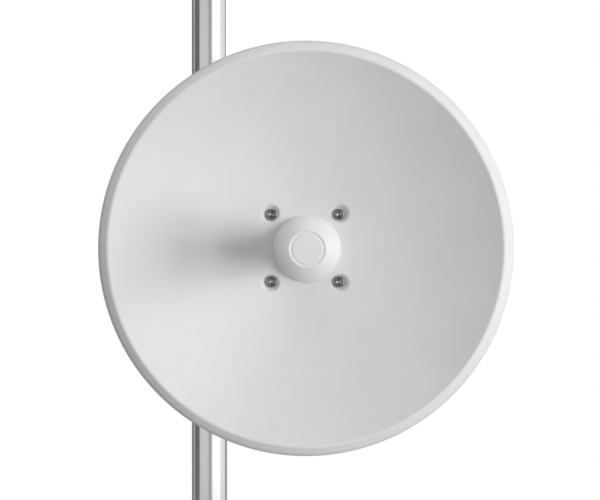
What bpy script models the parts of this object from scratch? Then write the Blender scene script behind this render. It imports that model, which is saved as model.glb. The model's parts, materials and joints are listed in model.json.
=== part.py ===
"""A wireless dish antenna on a short flanged mast.

A pressed dish with a rolled-back rim carries a front feed and, behind it, a radio. A bent steel plate
behind the dish tilts on a second bent bracket, which is clamped round the pole beside the radio.

Metres, +Z up. The origin is the centre of the mast's foot, on the ground. The dish looks along -Y.
"""

import math

import bmesh
import bpy
from mathutils import Vector

# Mast
POLE_RADIUS = 0.0212
POLE_WALL = 0.0026
MAST_HEIGHT = 0.800
FOOT_SIDE = 0.150
FOOT_THICKNESS = 0.008
FOOT_CORNER = 0.015
ANCHOR_SPACING = 0.110
ANCHOR_HOLE_RADIUS = 0.006
GUSSET_HEIGHT = 0.058
GUSSET_THICKNESS = 0.004

# Where the dish stands against the pole
DISH_HEIGHT = 0.450
DISH_OFFSET = 0.115
POLE_TO_VERTEX = 0.090

# Dish
DISH_RADIUS = 0.235
FOCAL_LENGTH = 0.169
SHEET = 0.0015
FOLD_RADIUS = 0.2235
LIP_DROP = 0.0068
SKIRT_LENGTH = 0.0068
HUB_HOLE_RADIUS = 0.030
CENTRE_RADIUS = 0.080
SCREW_SPACING = 0.078
DIMPLE_FLOOR = 0.0020
DIMPLE_FLOOR_RADIUS = 0.0085
DIMPLE_SLOPE = 1.3

# Feed, measured forward from the dish's vertex
NECK_RADIUS = 0.0295
COLLAR_RADIUS = 0.036
COLLAR_REAR = 0.0024
COLLAR_FRONT = 0.016
TUBE_RADIUS = 0.0212
TUBE_TIP_RADIUS = 0.0203
TUBE_WALL = 0.0015
TUBE_FRONT = 0.140
CONE_RADIUS = 0.033
CONE_FRONT = 0.156
CAP_RADIUS = 0.0365
CAP_REAR = 0.154
CAP_FRONT = 0.178
CAP_FACE_RADIUS = 0.0200
CAP_ROUND = 0.0042
SHOULDER_START = math.radians(22)
SHOULDER_END = math.radians(41)

# Bent plate behind the dish, and the tilt joint
HUB_PLATE_FRONT = 0.0002
HUB_PLATE_THICKNESS = 0.003
HUB_PLATE_HALF_HEIGHT = 0.060
HUB_PLATE_RIGHT = 0.055
HUB_PLATE_HOLE_RADIUS = 0.038
HUB_CHEEK_OUTSIDE = 0.061
HUB_CHEEK_REACH = 0.0465
PIVOT_BACK = 0.032
LOCK_RADIUS = 0.028
TILT_RANGE = math.radians(20)
BEND_RADIUS = 0.003

# Bracket on the pole
BRACKET_THICKNESS = 0.004
BRACKET_HALF_HEIGHT = 0.044
BRACKET_LEFT = 0.048
CLAMP_FACE = 0.029
FLANGE_HALF_WIDTH = 0.040
FLANGE_REACH = 0.017
CHEEK_REACH = 0.044
CLAMP_BOLT_X = 0.029
CLAMP_BOLT_Z = 0.021
NOTCH_HALF_ANGLE = math.radians(60)

# Radio behind the dish
RADIO_HALF_WIDTH = 0.050
RADIO_TOP = 0.072
RADIO_BOTTOM = -0.100
RADIO_SPLIT = 0.016
RADIO_BACK = 0.052
RADIO_CORNER = 0.014
RADIO_WALL = 0.0025

# Shank radii of the bolts, and the widths of their heads and nuts across flats
M6_RADIUS = 0.003
M8_RADIUS = 0.004
M10_RADIUS = 0.005
M6_FLATS = 0.010
M8_FLATS = 0.013
M10_FLATS = 0.016
HOLE_PLAY = 0.0004

# Gap left between pieces that touch
PLAY = 0.0003

BOLT_SIDES = 12
TUBE_SIDES = 40
DISH_SIDES = 72

FACE_FRONT = (math.pi / 2, 0, 0)
FACE_BACK = (-math.pi / 2, 0, 0)
FACE_RIGHT = (0, math.pi / 2, 0)
FACE_LEFT = (0, -math.pi / 2, 0)


def clear_scene():
    for obj in list(bpy.data.objects):
        bpy.data.objects.remove(obj, do_unlink=True)


def material(name, colour, roughness, metallic=0.0):
    made = bpy.data.materials.new(name)
    made.use_nodes = True
    shader = made.node_tree.nodes["Principled BSDF"]
    shader.inputs["Base Color"].default_value = (*colour, 1.0)
    shader.inputs["Roughness"].default_value = roughness
    shader.inputs["Metallic"].default_value = metallic
    return made


def anchor(name, parent=None, location=(0, 0, 0), rotation=(0, 0, 0)):
    """An empty that pieces are placed against."""
    empty = bpy.data.objects.new(name, None)
    bpy.context.collection.objects.link(empty)
    empty.parent = parent
    empty.location = location
    empty.rotation_euler = rotation
    return empty


def piece(name, bm, finish, parent=None, location=(0, 0, 0), rotation=(0, 0, 0)):
    """One named solid, with its round faces shaded smooth."""
    bmesh.ops.recalc_face_normals(bm, faces=bm.faces)
    mesh = bpy.data.meshes.new(name)
    bm.to_mesh(mesh)
    bm.free()
    mesh.shade_smooth()
    mesh.set_sharp_from_angle(angle=math.radians(35))
    mesh.materials.append(finish)
    obj = bpy.data.objects.new(name, mesh)
    bpy.context.collection.objects.link(obj)
    obj.parent = parent
    obj.location = location
    obj.rotation_euler = rotation
    return obj


def spoke(angle, length):
    return Vector((length * math.cos(angle), length * math.sin(angle), 0))


def circle(radius, height=0.0, sides=BOLT_SIDES, centre=(0, 0)):
    middle = Vector((*centre, height))
    return [middle + spoke(2 * math.pi * i / sides, radius) for i in range(sides)]


def hexagon(flats, height=0.0):
    """A hexagon with as many points as a bolt's circle, so that the two can be bridged."""
    sixth = math.radians(60)
    ring = []
    for point in circle(flats / 2, height):
        angle = math.atan2(point.y, point.x) % sixth - sixth / 2
        ring.append(Vector((point.x / math.cos(angle), point.y / math.cos(angle), height)))
    return ring


def rounded(corners, steps=4):
    """A closed outline through (x, y, radius) corners. A corner with no radius stays sharp."""
    outline = []
    for i, (x, y, radius) in enumerate(corners):
        here = Vector((x, y))
        if not radius:
            outline.append(here)
            continue
        before = (Vector(corners[i - 1][:2]) - here).normalized()
        after = (Vector(corners[(i + 1) % len(corners)][:2]) - here).normalized()
        half = before.angle(after) / 2
        centre = here + (before + after).normalized() * (radius / math.sin(half))
        start = here + before * (radius / math.tan(half)) - centre
        end = here + after * (radius / math.tan(half)) - centre
        first = math.atan2(start.y, start.x)
        sweep = (math.atan2(end.y, end.x) - first + math.pi) % (2 * math.pi) - math.pi
        for k in range(steps + 1):
            angle = first + sweep * k / steps
            outline.append(centre + radius * Vector((math.cos(angle), math.sin(angle))))
    return [Vector((p.x, p.y, 0)) for p in outline]


def rounded_box(left, right, bottom, top, radius):
    corners = [(right, bottom), (right, top), (left, top), (left, bottom)]
    return rounded([(x, y, radius) for x, y in corners])


def arc_slot(centre, radius, middle, half_sweep, half_width, steps=5):
    """A slot that follows an arc about the centre, with round ends."""
    centre = Vector((*centre, 0))
    outline = []
    for side in (1, -1):
        for k in range(steps + 1):
            angle = middle + side * half_sweep * (2 * k / steps - 1)
            outline.append(centre + spoke(angle, radius + side * half_width))
        end = middle + side * half_sweep
        outward = end if side > 0 else end + math.pi
        for k in (1, 2, 3):
            outline.append(centre + spoke(end, radius) + spoke(outward + k * math.pi / 4, half_width))
    return outline


def loft(rings, closed=False):
    """Skins rings that all have the same count of points. A closed one goes round a bore, without ends."""
    bm = bmesh.new()
    loops = [[bm.verts.new(p) for p in ring] for ring in rings]
    pairs = list(zip(loops, loops[1:]))
    if closed:
        pairs.append((loops[-1], loops[0]))
    count = len(rings[0])
    for lower, upper in pairs:
        for i in range(count):
            j = (i + 1) % count
            bm.faces.new((lower[i], lower[j], upper[j], upper[i]))
    if not closed:
        bm.faces.new(loops[0])
        bm.faces.new(loops[-1])
    return bm


def turned(profile, sides=TUBE_SIDES):
    """A solid turned about Z from the (radius, height) points of its closed or axis-to-axis profile."""
    bm = bmesh.new()
    points = [bm.verts.new((radius, 0, height)) for radius, height in profile]
    edges = [bm.edges.new(pair) for pair in zip(points, points[1:])]
    if profile[0][0] > 0:
        edges.append(bm.edges.new((points[-1], points[0])))
    whole = {"cent": (0, 0, 0), "axis": (0, 0, 1), "angle": 2 * math.pi, "steps": sides, "use_merge": True}
    bmesh.ops.spin(bm, geom=points + edges, **whole)
    bmesh.ops.remove_doubles(bm, verts=bm.verts, dist=1e-6)
    return bm


def filled(bm, loops):
    """Fills the area between an outer loop of points and the loops inside it."""
    edges = []
    for loop in loops:
        points = [bm.verts.new(p) for p in loop]
        edges += [bm.edges.new((point, points[(i + 1) % len(points)])) for i, point in enumerate(points)]
    bmesh.ops.triangle_fill(bm, edges=edges, use_beauty=True, normal=(0, 0, 1))


class Fold:
    """A right-angle bend of everything past a line across a flat sheet, up (+1) or down (-1)."""

    STEPS = 4

    def __init__(self, start, outward, way, thickness):
        self.start = start
        self.outward = Vector(outward)
        self.way = way
        self.thickness = thickness
        self.length = (BEND_RADIUS + thickness / 2) * math.pi / 2

    def score(self, bm):
        """Cuts the flat sheet across, where the bend will curve it."""
        for k in range(self.STEPS + 1):
            place = self.outward * (self.start + self.length * k / self.STEPS)
            everything = bm.verts[:] + bm.edges[:] + bm.faces[:]
            bmesh.ops.bisect_plane(bm, geom=everything, plane_co=place, plane_no=self.outward)

    def bend(self, bm):
        centre = self.thickness + BEND_RADIUS if self.way > 0 else -BEND_RADIUS
        for vert in bm.verts:
            past = vert.co.dot(self.outward) - self.start
            if past <= 1e-7:
                continue
            turn = min(past / self.length, 1) * math.pi / 2
            straight = max(past - self.length, 0)
            spoke = abs(centre - vert.co.z)
            out = spoke * math.sin(turn) + straight * math.cos(turn)
            up = -spoke * math.cos(turn) + straight * math.sin(turn)
            vert.co += self.outward * (out - past)
            vert.co.z = centre + self.way * up

    def flat(self, reach):
        """Where on the flat blank a point lies that ends up that far beyond the face inside the bend."""
        return self.start + self.length + reach - BEND_RADIUS


def sheet(outline, holes, thickness, folds=()):
    """A flat blank with its holes, given a thickness and then folded."""
    bm = bmesh.new()
    filled(bm, [outline, *holes])
    for fold in folds:
        fold.score(bm)
    made = bmesh.ops.extrude_face_region(bm, geom=bm.faces[:], use_keep_orig=True)
    top = [v for v in made["geom"] if isinstance(v, bmesh.types.BMVert)]
    bmesh.ops.translate(bm, verts=top, vec=(0, 0, thickness))
    for fold in folds:
        fold.bend(bm)
    return bm


def hex_bolt(flats, head_height, radius, length):
    """A hexagon-head bolt with the underside of its head at z = 0 and its shank along -Z."""
    chamfer = radius * 0.2
    return loft(
        [
            circle(flats * 0.47, head_height),
            hexagon(flats, head_height - chamfer),
            hexagon(flats, 0),
            circle(radius, 0),
            circle(radius, chamfer - length),
            circle(radius - chamfer, -length),
        ]
    )


def carriage_bolt(radius, length):
    """A bolt with a low domed head, for where a spanner doesn't fit."""
    head_radius = radius * 2.1
    head_height = radius * 0.9
    return loft(
        [
            circle(head_radius * 0.35, head_height),
            circle(head_radius * 0.75, head_height * 0.75),
            circle(head_radius, head_height * 0.2),
            circle(head_radius, 0),
            circle(radius, 0),
            circle(radius, -length),
        ]
    )


def socket_screw(radius, length):
    """A screw with a low round head, a soft shoulder and a hexagon socket."""
    head_radius = radius * 1.675
    head_height = radius * 1.15
    socket = radius * 1.5
    return loft(
        [
            circle(radius, -length),
            circle(radius, 0),
            circle(head_radius, 0),
            circle(head_radius, head_height * 0.6),
            circle(head_radius * 0.92, head_height * 0.89),
            circle(head_radius * 0.73, head_height),
            hexagon(socket, head_height),
            hexagon(socket, head_height * 0.45),
        ]
    )


def nut(flats, height, radius):
    """A hexagon nut with a washer face. It bears on z = 0 and stands along +Z."""
    flange = height * 0.2
    return loft(
        [
            circle(flats * 0.62, 0),
            circle(flats * 0.62, flange),
            hexagon(flats, flange),
            hexagon(flats, height),
            circle(radius + PLAY, height),
            circle(radius + PLAY, 0),
        ],
        closed=True,
    )


def bowl(radius):
    """How far the dish's front surface stands ahead of its vertex."""
    return radius**2 / (4 * FOCAL_LENGTH)


def four_corners(x, y):
    return [(x, y), (-x, y), (-x, -y), (x, -y)]


SCREW_PLACES = four_corners(SCREW_SPACING / 2, SCREW_SPACING / 2)
CLAMP_BOLT_PLACES = four_corners(CLAMP_BOLT_X, CLAMP_BOLT_Z)


def build_mast(tube_steel, zinc, plastic):
    inner = POLE_RADIUS - POLE_WALL
    seat = FOOT_THICKNESS + PLAY
    pole = turned([(POLE_RADIUS, MAST_HEIGHT), (POLE_RADIUS, seat), (inner, seat), (inner, MAST_HEIGHT)])
    piece("mast_pole", pole, tube_steel)

    plug = inner - PLAY
    brim = MAST_HEIGHT + PLAY
    cap = turned(
        [
            (0, brim + 0.0055),
            (POLE_RADIUS * 0.62, brim + 0.0048),
            (POLE_RADIUS * 0.92, brim + 0.0032),
            (POLE_RADIUS, brim + 0.0012),
            (POLE_RADIUS, brim),
            (plug, brim),
            (plug, MAST_HEIGHT - 0.014),
            (plug - 0.0015, MAST_HEIGHT - 0.016),
            (0, MAST_HEIGHT - 0.016),
        ]
    )
    piece("pole_cap", cap, plastic)

    half = FOOT_SIDE / 2
    anchor_places = four_corners(ANCHOR_SPACING / 2, ANCHOR_SPACING / 2)
    holes = [circle(ANCHOR_HOLE_RADIUS, centre=place) for place in anchor_places]
    foot = rounded_box(-half, half, -half, half, FOOT_CORNER)
    piece("base_plate", sheet(foot, holes, FOOT_THICKNESS), zinc)

    root = POLE_RADIUS + PLAY
    reach = half - 0.012
    toe = 0.006
    tip = GUSSET_HEIGHT
    gusset = [(root, 0, 0), (reach, 0, 0), (reach, toe, 0), (root + toe, tip, 0), (root, tip, 0)]
    for i in range(4):
        turn = i * math.pi / 2
        x = -math.sin(turn) * GUSSET_THICKNESS / 2
        y = math.cos(turn) * GUSSET_THICKNESS / 2
        blank = sheet(rounded(gusset), [], GUSSET_THICKNESS)
        piece(f"base_gusset_{i + 1}", blank, zinc, location=(x, y, seat), rotation=(math.pi / 2, 0, turn))

    washer = M10_RADIUS * 2
    stud = [
        circle(M10_RADIUS, 0),
        circle(M10_RADIUS, seat),
        circle(washer, seat),
        circle(washer, seat + 0.002),
        hexagon(M10_FLATS, seat + 0.002),
        hexagon(M10_FLATS, seat + 0.010),
        circle(M10_RADIUS, seat + 0.010),
        circle(M10_RADIUS, seat + 0.018),
    ]
    for i, (x, y) in enumerate(anchor_places):
        piece(f"anchor_bolt_{i + 1}", loft(stud), zinc, location=(x, y, 0))


def clamp_folds():
    start = BRACKET_HALF_HEIGHT - BEND_RADIUS - BRACKET_THICKNESS
    up = Fold(start, (0, 1, 0), 1, BRACKET_THICKNESS)
    down = Fold(start, (0, -1, 0), 1, BRACKET_THICKNESS)
    return up, down


def notched_flange(fold, side):
    """Corners of one clamp flange, right to left on the side of +y, with the V that seats the pole."""
    apex = (POLE_RADIUS + PLAY) / math.sin(NOTCH_HALF_ANGLE)
    mouth = (apex - CLAMP_FACE + FLANGE_REACH) * math.tan(NOTCH_HALF_ANGLE)
    root = fold.start - 0.001
    end = fold.flat(FLANGE_REACH)
    deep = fold.flat(CLAMP_FACE - apex)
    wide = FLANGE_HALF_WIDTH
    corners = [
        (wide, root, 0),
        (wide, end, 0.004),
        (mouth, end, 0),
        (0, deep, 0),
        (-mouth, end, 0),
        (-wide, end, 0.004),
        (-wide, root, 0),
    ]
    if side > 0:
        return corners
    return [(x, -y, radius) for x, y, radius in reversed(corners)]


def build_clamp(swivel, zinc, bright):
    up, down = clamp_folds()
    root = up.start - 0.001
    bolt_holes = [circle(M8_RADIUS + HOLE_PLAY, centre=place) for place in CLAMP_BOLT_PLACES]
    left = [(-BRACKET_LEFT, root, 0.004), (-BRACKET_LEFT, -root, 0.004)]

    jaw = [*notched_flange(up, 1), *left, *notched_flange(down, -1)]
    jaw += [(BRACKET_LEFT, -root, 0.004), (BRACKET_LEFT, root, 0.004)]
    back = CLAMP_FACE + BRACKET_THICKNESS
    blank = sheet(rounded(jaw), bolt_holes, BRACKET_THICKNESS, (up, down))
    piece("clamp_jaw", blank, zinc, swivel, (0, back, 0), FACE_FRONT)

    outside = DISH_OFFSET - HUB_CHEEK_OUTSIDE - PLAY
    side = Fold(outside - BEND_RADIUS - BRACKET_THICKNESS, (1, 0, 0), -1, BRACKET_THICKNESS)
    end = side.flat(CHEEK_REACH)
    pivot = (side.flat(POLE_TO_VERTEX - PIVOT_BACK - back), 0)
    slots = [
        arc_slot(pivot, LOCK_RADIUS, turn, TILT_RANGE + math.radians(1), M6_RADIUS + HOLE_PLAY)
        for turn in (math.pi / 2, -math.pi / 2)
    ]
    pivot_hole = circle(M8_RADIUS + HOLE_PLAY, centre=pivot)
    bracket = [*notched_flange(up, 1), *left, *notched_flange(down, -1)]
    bracket += [(end, -root, 0.010), (end, root, 0.010)]
    blank = sheet(rounded(bracket), [*bolt_holes, pivot_hole, *slots], BRACKET_THICKNESS, (up, down, side))
    piece("clamp_bracket", blank, zinc, swivel, (0, -back, 0), FACE_BACK)

    nut_height = 0.0065
    length = 2 * back + nut_height + 0.004
    for i, (x, z) in enumerate(CLAMP_BOLT_PLACES):
        head = (x, -back - PLAY, z)
        rear = (x, back + PLAY, z)
        bolt = hex_bolt(M8_FLATS, 0.0053, M8_RADIUS, length)
        piece(f"clamp_bolt_{i + 1}", bolt, bright, swivel, head, FACE_FRONT)
        holder = nut(M8_FLATS, nut_height, M8_RADIUS)
        piece(f"clamp_nut_{i + 1}", holder, bright, swivel, rear, FACE_BACK)


def build_hub_plate(tilt, dish, zinc, bright):
    thickness = HUB_PLATE_THICKNESS
    fold = Fold(HUB_CHEEK_OUTSIDE - BEND_RADIUS - thickness, (-1, 0, 0), -1, thickness)
    rear = HUB_PLATE_FRONT - thickness
    pivot_reach = PIVOT_BACK + rear
    end = -fold.flat(HUB_CHEEK_REACH)
    pivot = (-fold.flat(pivot_reach), 0)
    right = HUB_PLATE_RIGHT
    top = HUB_PLATE_HALF_HEIGHT
    cheek = LOCK_RADIUS + 0.009
    waist = -(fold.start - 0.001)
    shoulder = waist + 0.012
    corners = [
        (right, -top, 0.008),
        (right, top, 0.008),
        (shoulder, top, 0.006),
        (waist, cheek, 0.003),
        (end, cheek, 0.009),
        (end, -cheek, 0.009),
        (waist, -cheek, 0.003),
        (shoulder, -top, 0.006),
    ]
    holes = [circle(HUB_PLATE_HOLE_RADIUS, sides=36), circle(M8_RADIUS + HOLE_PLAY, centre=pivot)]
    holes += [circle(M8_RADIUS + HOLE_PLAY, centre=place) for place in SCREW_PLACES]
    holes += [circle(M6_RADIUS + HOLE_PLAY, centre=(pivot[0], side * LOCK_RADIUS)) for side in (1, -1)]
    piece("hub_plate", sheet(rounded(corners), holes, thickness, (fold,)), zinc, dish, (0, 0, rear))

    head_seat = thickness + PLAY - HUB_CHEEK_OUTSIDE
    nut_seat = -HUB_CHEEK_OUTSIDE - 2 * PLAY - BRACKET_THICKNESS
    grip = head_seat - nut_seat
    for name, radius, flats, height, z in (
        ("pivot", M8_RADIUS, M8_FLATS, 0.0065, 0),
        ("lock_1", M6_RADIUS, M6_FLATS, 0.005, LOCK_RADIUS),
        ("lock_2", M6_RADIUS, M6_FLATS, 0.005, -LOCK_RADIUS),
    ):
        bolt = carriage_bolt(radius, grip + height + 0.0015)
        piece(f"{name}_bolt", bolt, bright, tilt, (head_seat, 0, z), FACE_RIGHT)
        piece(f"{name}_nut", nut(flats, height, radius), bright, tilt, (nut_seat, 0, z), FACE_LEFT)


def dimple_edge(centre, angle):
    """How far from a screw's axis the sloping wall of its dimple meets the dish's surface."""
    slope = 2 * FOCAL_LENGTH * DIMPLE_SLOPE
    across = centre[0] * math.cos(angle) + centre[1] * math.sin(angle) - slope
    floor = 4 * FOCAL_LENGTH * DIMPLE_FLOOR
    rest = centre[0] ** 2 + centre[1] ** 2 - floor + 2 * slope * DIMPLE_FLOOR_RADIUS
    return -across - math.sqrt(across**2 - rest)


def build_dish(dish, white):
    lip = DISH_RADIUS - FOLD_RADIUS
    top = bowl(FOLD_RADIUS)
    edge = top - LIP_DROP
    radii = [CENTRE_RADIUS + k * (FOLD_RADIUS - CENTRE_RADIUS) / 8 for k in range(9)]
    profile = [(radius, bowl(radius)) for radius in radii]
    profile += [
        (FOLD_RADIUS + lip * 0.58, edge + LIP_DROP * 0.42),
        (FOLD_RADIUS + lip * 0.85, edge),
        (DISH_RADIUS, edge - 0.0048),
        (DISH_RADIUS, edge - SKIRT_LENGTH),
    ]
    behind = behind_sheet(profile)
    rings = [circle(radius, height, DISH_SIDES) for radius, height in [*profile, *reversed(behind)]]
    bm = loft(rings)
    bmesh.ops.delete(bm, geom=[face for face in bm.faces if len(face.verts) > 4], context="FACES_ONLY")

    hub = circle(HUB_HOLE_RADIUS, 0, 36)
    outer = circle(CENTRE_RADIUS, 0, DISH_SIDES)
    sides = 16
    turns = [k * 2 * math.pi / sides for k in range(sides)]
    centre_skin = bmesh.new()
    edges = []
    for place in SCREW_PLACES:
        middle = Vector((*place, 0))
        rim = [middle + spoke(turn, dimple_edge(place, turn)) for turn in turns]
        floor = circle(DIMPLE_FLOOR_RADIUS, 0, sides, place)
        hole = circle(M8_RADIUS + HOLE_PLAY, 0, sides, place)
        edges.append(rim)
        rings = [[centre_skin.verts.new(p) for p in ring] for ring in (rim, floor, hole)]
        for wide, narrow in zip(rings, rings[1:]):
            for i in range(sides):
                j = (i + 1) % sides
                centre_skin.faces.new((wide[i], wide[j], narrow[j], narrow[i]))
    filled(centre_skin, [outer, hub, *edges])
    bmesh.ops.remove_doubles(centre_skin, verts=centre_skin.verts, dist=1e-6)
    thicken(centre_skin)
    scrap = bpy.data.meshes.new("dish_centre")
    centre_skin.to_mesh(scrap)
    centre_skin.free()
    bm.from_mesh(scrap)
    bpy.data.meshes.remove(scrap)
    bmesh.ops.remove_doubles(bm, verts=bm.verts, dist=2e-6)
    piece("dish_reflector", bm, white, dish)


def behind_sheet(profile):
    """The line on the other side of the dish's sheet, with mitred corners."""
    moved = []
    for i, point in enumerate(profile):
        ends = [k for k in (i, i + 1) if 0 < k < len(profile)]
        normals = []
        for k in ends:
            along = (Vector(profile[k]) - Vector(profile[k - 1])).normalized()
            normals.append(Vector((along.y, -along.x)))
        across = normals[0] + normals[-1]
        moved.append(Vector(point) + across * (SHEET / (1 + normals[0].dot(normals[-1]))))
    return [(point.x, point.y) for point in moved]


def thicken(bm):
    """Lifts the flat centre of the dish to its pressed shape and gives it a second skin behind."""
    skin = bm.faces[:]
    rear = {}
    for vert in bm.verts[:]:
        vert.co.z = pressed_height(vert.co)
        rear[vert] = bm.verts.new(behind_point(vert.co))
    rims = [edge for edge in bm.edges if len(edge.link_faces) == 1]
    for face in skin:
        bm.faces.new([rear[v] for v in reversed(face.verts)])
    for edge in rims:
        a, b = edge.verts
        if min(a.co.xy.length, b.co.xy.length) < CENTRE_RADIUS - 1e-5:
            bm.faces.new((a, b, rear[b], rear[a]))


def pressed_height(point):
    """Height of the dish's front surface, with the dimples that the four screws sit in."""
    height = bowl(point.xy.length)
    for place in SCREW_PLACES:
        away = (point.xy - Vector(place)).length
        wall = DIMPLE_FLOOR + DIMPLE_SLOPE * max(0, away - DIMPLE_FLOOR_RADIUS)
        height = min(height, wall)
    return height


def behind_point(point):
    """The point on the sheet's other side. Outside the dimples it lies square to the surface."""
    radius = point.xy.length
    if radius > CENTRE_RADIUS - 1e-5:
        step = (FOLD_RADIUS - CENTRE_RADIUS) / 8
        first = [(CENTRE_RADIUS, bowl(CENTRE_RADIUS)), (CENTRE_RADIUS + step, bowl(CENTRE_RADIUS + step))]
        radius_behind, height_behind = behind_sheet(first)[0]
        return Vector((*(point.xy * (radius_behind / radius)), height_behind))
    return Vector((point.x, point.y, point.z - SHEET))


def cap_outside(steps=6, rim_steps=3):
    """From the middle of the cap's face, down a shoulder that grows steeper, to its round rim."""
    line = [(0, CAP_FRONT)]
    radius, height = CAP_FACE_RADIUS, CAP_FRONT
    step = (CAP_RADIUS - CAP_ROUND * (1 - math.sin(SHOULDER_END)) - radius) / steps
    for k in range(steps):
        line.append((radius, height))
        radius += step
        height -= step * math.tan(SHOULDER_START + (SHOULDER_END - SHOULDER_START) * (k + 0.5) / steps)
    centre = height - CAP_ROUND * math.cos(SHOULDER_END)
    for k in range(rim_steps + 1):
        turn = SHOULDER_END + (math.pi / 2 - SHOULDER_END) * k / rim_steps
        line.append((CAP_RADIUS - CAP_ROUND * (1 - math.sin(turn)), centre + CAP_ROUND * math.cos(turn)))
    return line


def build_feed(dish, white, grey, metal):
    rear = HUB_PLATE_FRONT - HUB_PLATE_THICKNESS
    bore = TUBE_RADIUS + PLAY
    collar = turned(
        [
            (COLLAR_RADIUS, COLLAR_REAR),
            (COLLAR_RADIUS, COLLAR_FRONT - 0.004),
            (COLLAR_RADIUS - 0.0015, COLLAR_FRONT - 0.0012),
            (COLLAR_RADIUS - 0.0045, COLLAR_FRONT),
            (bore, COLLAR_FRONT),
            (bore, rear),
            (NECK_RADIUS, rear),
            (NECK_RADIUS, COLLAR_REAR),
        ]
    )
    piece("feed_collar", collar, white, dish)

    tube = turned(
        [
            (TUBE_RADIUS, rear),
            (TUBE_RADIUS, COLLAR_FRONT),
            (TUBE_TIP_RADIUS, TUBE_FRONT),
            (TUBE_TIP_RADIUS - TUBE_WALL, TUBE_FRONT),
            (TUBE_TIP_RADIUS - TUBE_WALL, rear),
        ]
    )
    piece("feed_tube", tube, metal, dish)

    seat = TUBE_FRONT + PLAY
    plug = TUBE_TIP_RADIUS - TUBE_WALL - PLAY
    cone = turned(
        [
            (0, CONE_FRONT),
            (CONE_RADIUS, CONE_FRONT),
            (CONE_RADIUS, CONE_FRONT - 0.0012),
            (TUBE_TIP_RADIUS, seat),
            (plug, seat),
            (plug, seat - 0.012),
            (0, seat - 0.012),
        ]
    )
    piece("feed_cone", cone, grey, dish)

    cap = cap_outside() + [
        (CAP_RADIUS, CAP_REAR),
        (CONE_RADIUS + PLAY, CAP_REAR),
        (CONE_RADIUS + PLAY, CONE_FRONT + PLAY),
        (0, CONE_FRONT + PLAY),
    ]
    piece("feed_cap", turned(cap), white, dish)


def build_hub_screws(dish, bright):
    for i, (x, y) in enumerate(SCREW_PLACES):
        seat = (x, y, DIMPLE_FLOOR + PLAY)
        piece(f"hub_screw_{i + 1}", socket_screw(M8_RADIUS, 0.016), bright, dish, seat)


def build_radio(dish, casting, shell, plastic):
    front = HUB_PLATE_FRONT - HUB_PLATE_THICKNESS - PLAY
    side = RADIO_HALF_WIDTH
    body = (-side, side, RADIO_BOTTOM, RADIO_TOP)
    holes = [circle(M8_RADIUS + PLAY, centre=place) for place in SCREW_PLACES]
    base = sheet(rounded_box(*body, RADIO_CORNER), holes, RADIO_SPLIT + front)
    piece("radio_base", base, casting, dish, (0, 0, -RADIO_SPLIT))

    def outline(inset, height):
        left, right, bottom, top = body
        corner = RADIO_CORNER - min(inset, RADIO_CORNER / 2)
        ring = rounded_box(left + inset, right - inset, bottom + inset, top - inset, corner)
        return [p + Vector((0, 0, height)) for p in ring]

    mouth = -RADIO_SPLIT - PLAY
    floor = RADIO_WALL - RADIO_BACK
    cover = loft(
        [
            outline(0.0045, -RADIO_BACK),
            outline(0.0013, 0.0013 - RADIO_BACK),
            outline(0, 0.0045 - RADIO_BACK),
            outline(0, mouth),
            outline(RADIO_WALL, mouth),
            outline(RADIO_WALL, floor + 0.004),
            outline(RADIO_WALL + 0.004, floor),
        ]
    )
    piece("radio_cover", cover, shell, dish)

    port_bottom = RADIO_BOTTOM - PLAY
    door = sheet(rounded_box(-0.030, 0.030, -0.012, 0.012, 0.004), [], 0.004)
    middle = -(RADIO_SPLIT + RADIO_BACK) / 2
    piece("port_cover", door, plastic, dish, (-0.008, port_bottom, middle), (math.pi / 2, 0, 0))

    gland = turned(
        [
            (0.0085, 0),
            (0.0085, 0.006),
            (0.0105, 0.006),
            (0.0105, 0.016),
            (0.0080, 0.020),
            (0.0045, 0.020),
            (0.0045, 0),
        ],
        sides=24,
    )
    piece("cable_gland", gland, plastic, dish, (0.036, port_bottom, middle), (math.pi / 2, 0, 0))


def main():
    clear_scene()
    tube_steel = material("polished steel tube", (0.62, 0.62, 0.63), 0.18, 1.0)
    zinc = material("zinc plated steel", (0.55, 0.56, 0.57), 0.42, 1.0)
    bright = material("stainless screws", (0.60, 0.60, 0.60), 0.25, 1.0)
    white = material("white powder coat", (0.80, 0.80, 0.79), 0.45)
    grey = material("grey feed plastic", (0.50, 0.50, 0.49), 0.5)
    casting = material("cast aluminium", (0.60, 0.61, 0.62), 0.5, 1.0)
    shell = material("white radio shell", (0.78, 0.78, 0.77), 0.5)
    plastic = material("black plastic", (0.03, 0.03, 0.03), 0.5)

    build_mast(tube_steel, zinc, plastic)
    swivel = anchor("azimuth_axis", location=(0, 0, DISH_HEIGHT))
    build_clamp(swivel, zinc, bright)
    tilt = anchor("tilt_axis", swivel, (DISH_OFFSET, PIVOT_BACK - POLE_TO_VERTEX, 0))
    dish = anchor("dish_vertex", tilt, (0, -PIVOT_BACK, 0), FACE_FRONT)
    build_hub_plate(tilt, dish, zinc, bright)
    build_dish(dish, white)
    build_feed(dish, white, grey, tube_steel)
    build_hub_screws(dish, bright)
    build_radio(dish, casting, shell, plastic)


main()
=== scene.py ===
# %% [markdown]
# # A wireless dish antenna, dressed from its solids
# A dish like this one links two roofs by radio. The bowl is pressed from sheet steel and painted white, the
# feed stands on its axis, and a clamp behind it holds everything to a steel tube. The plain solids and
# their joints are already there, and this lesson dresses them. A piece whose solid is right only gets a
# better material. A piece that the eye lands on is made again, finer, in the same place.

# %% Load the solids
import json
import math

import bmesh
import bpy
from mathutils import Matrix, Vector


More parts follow.
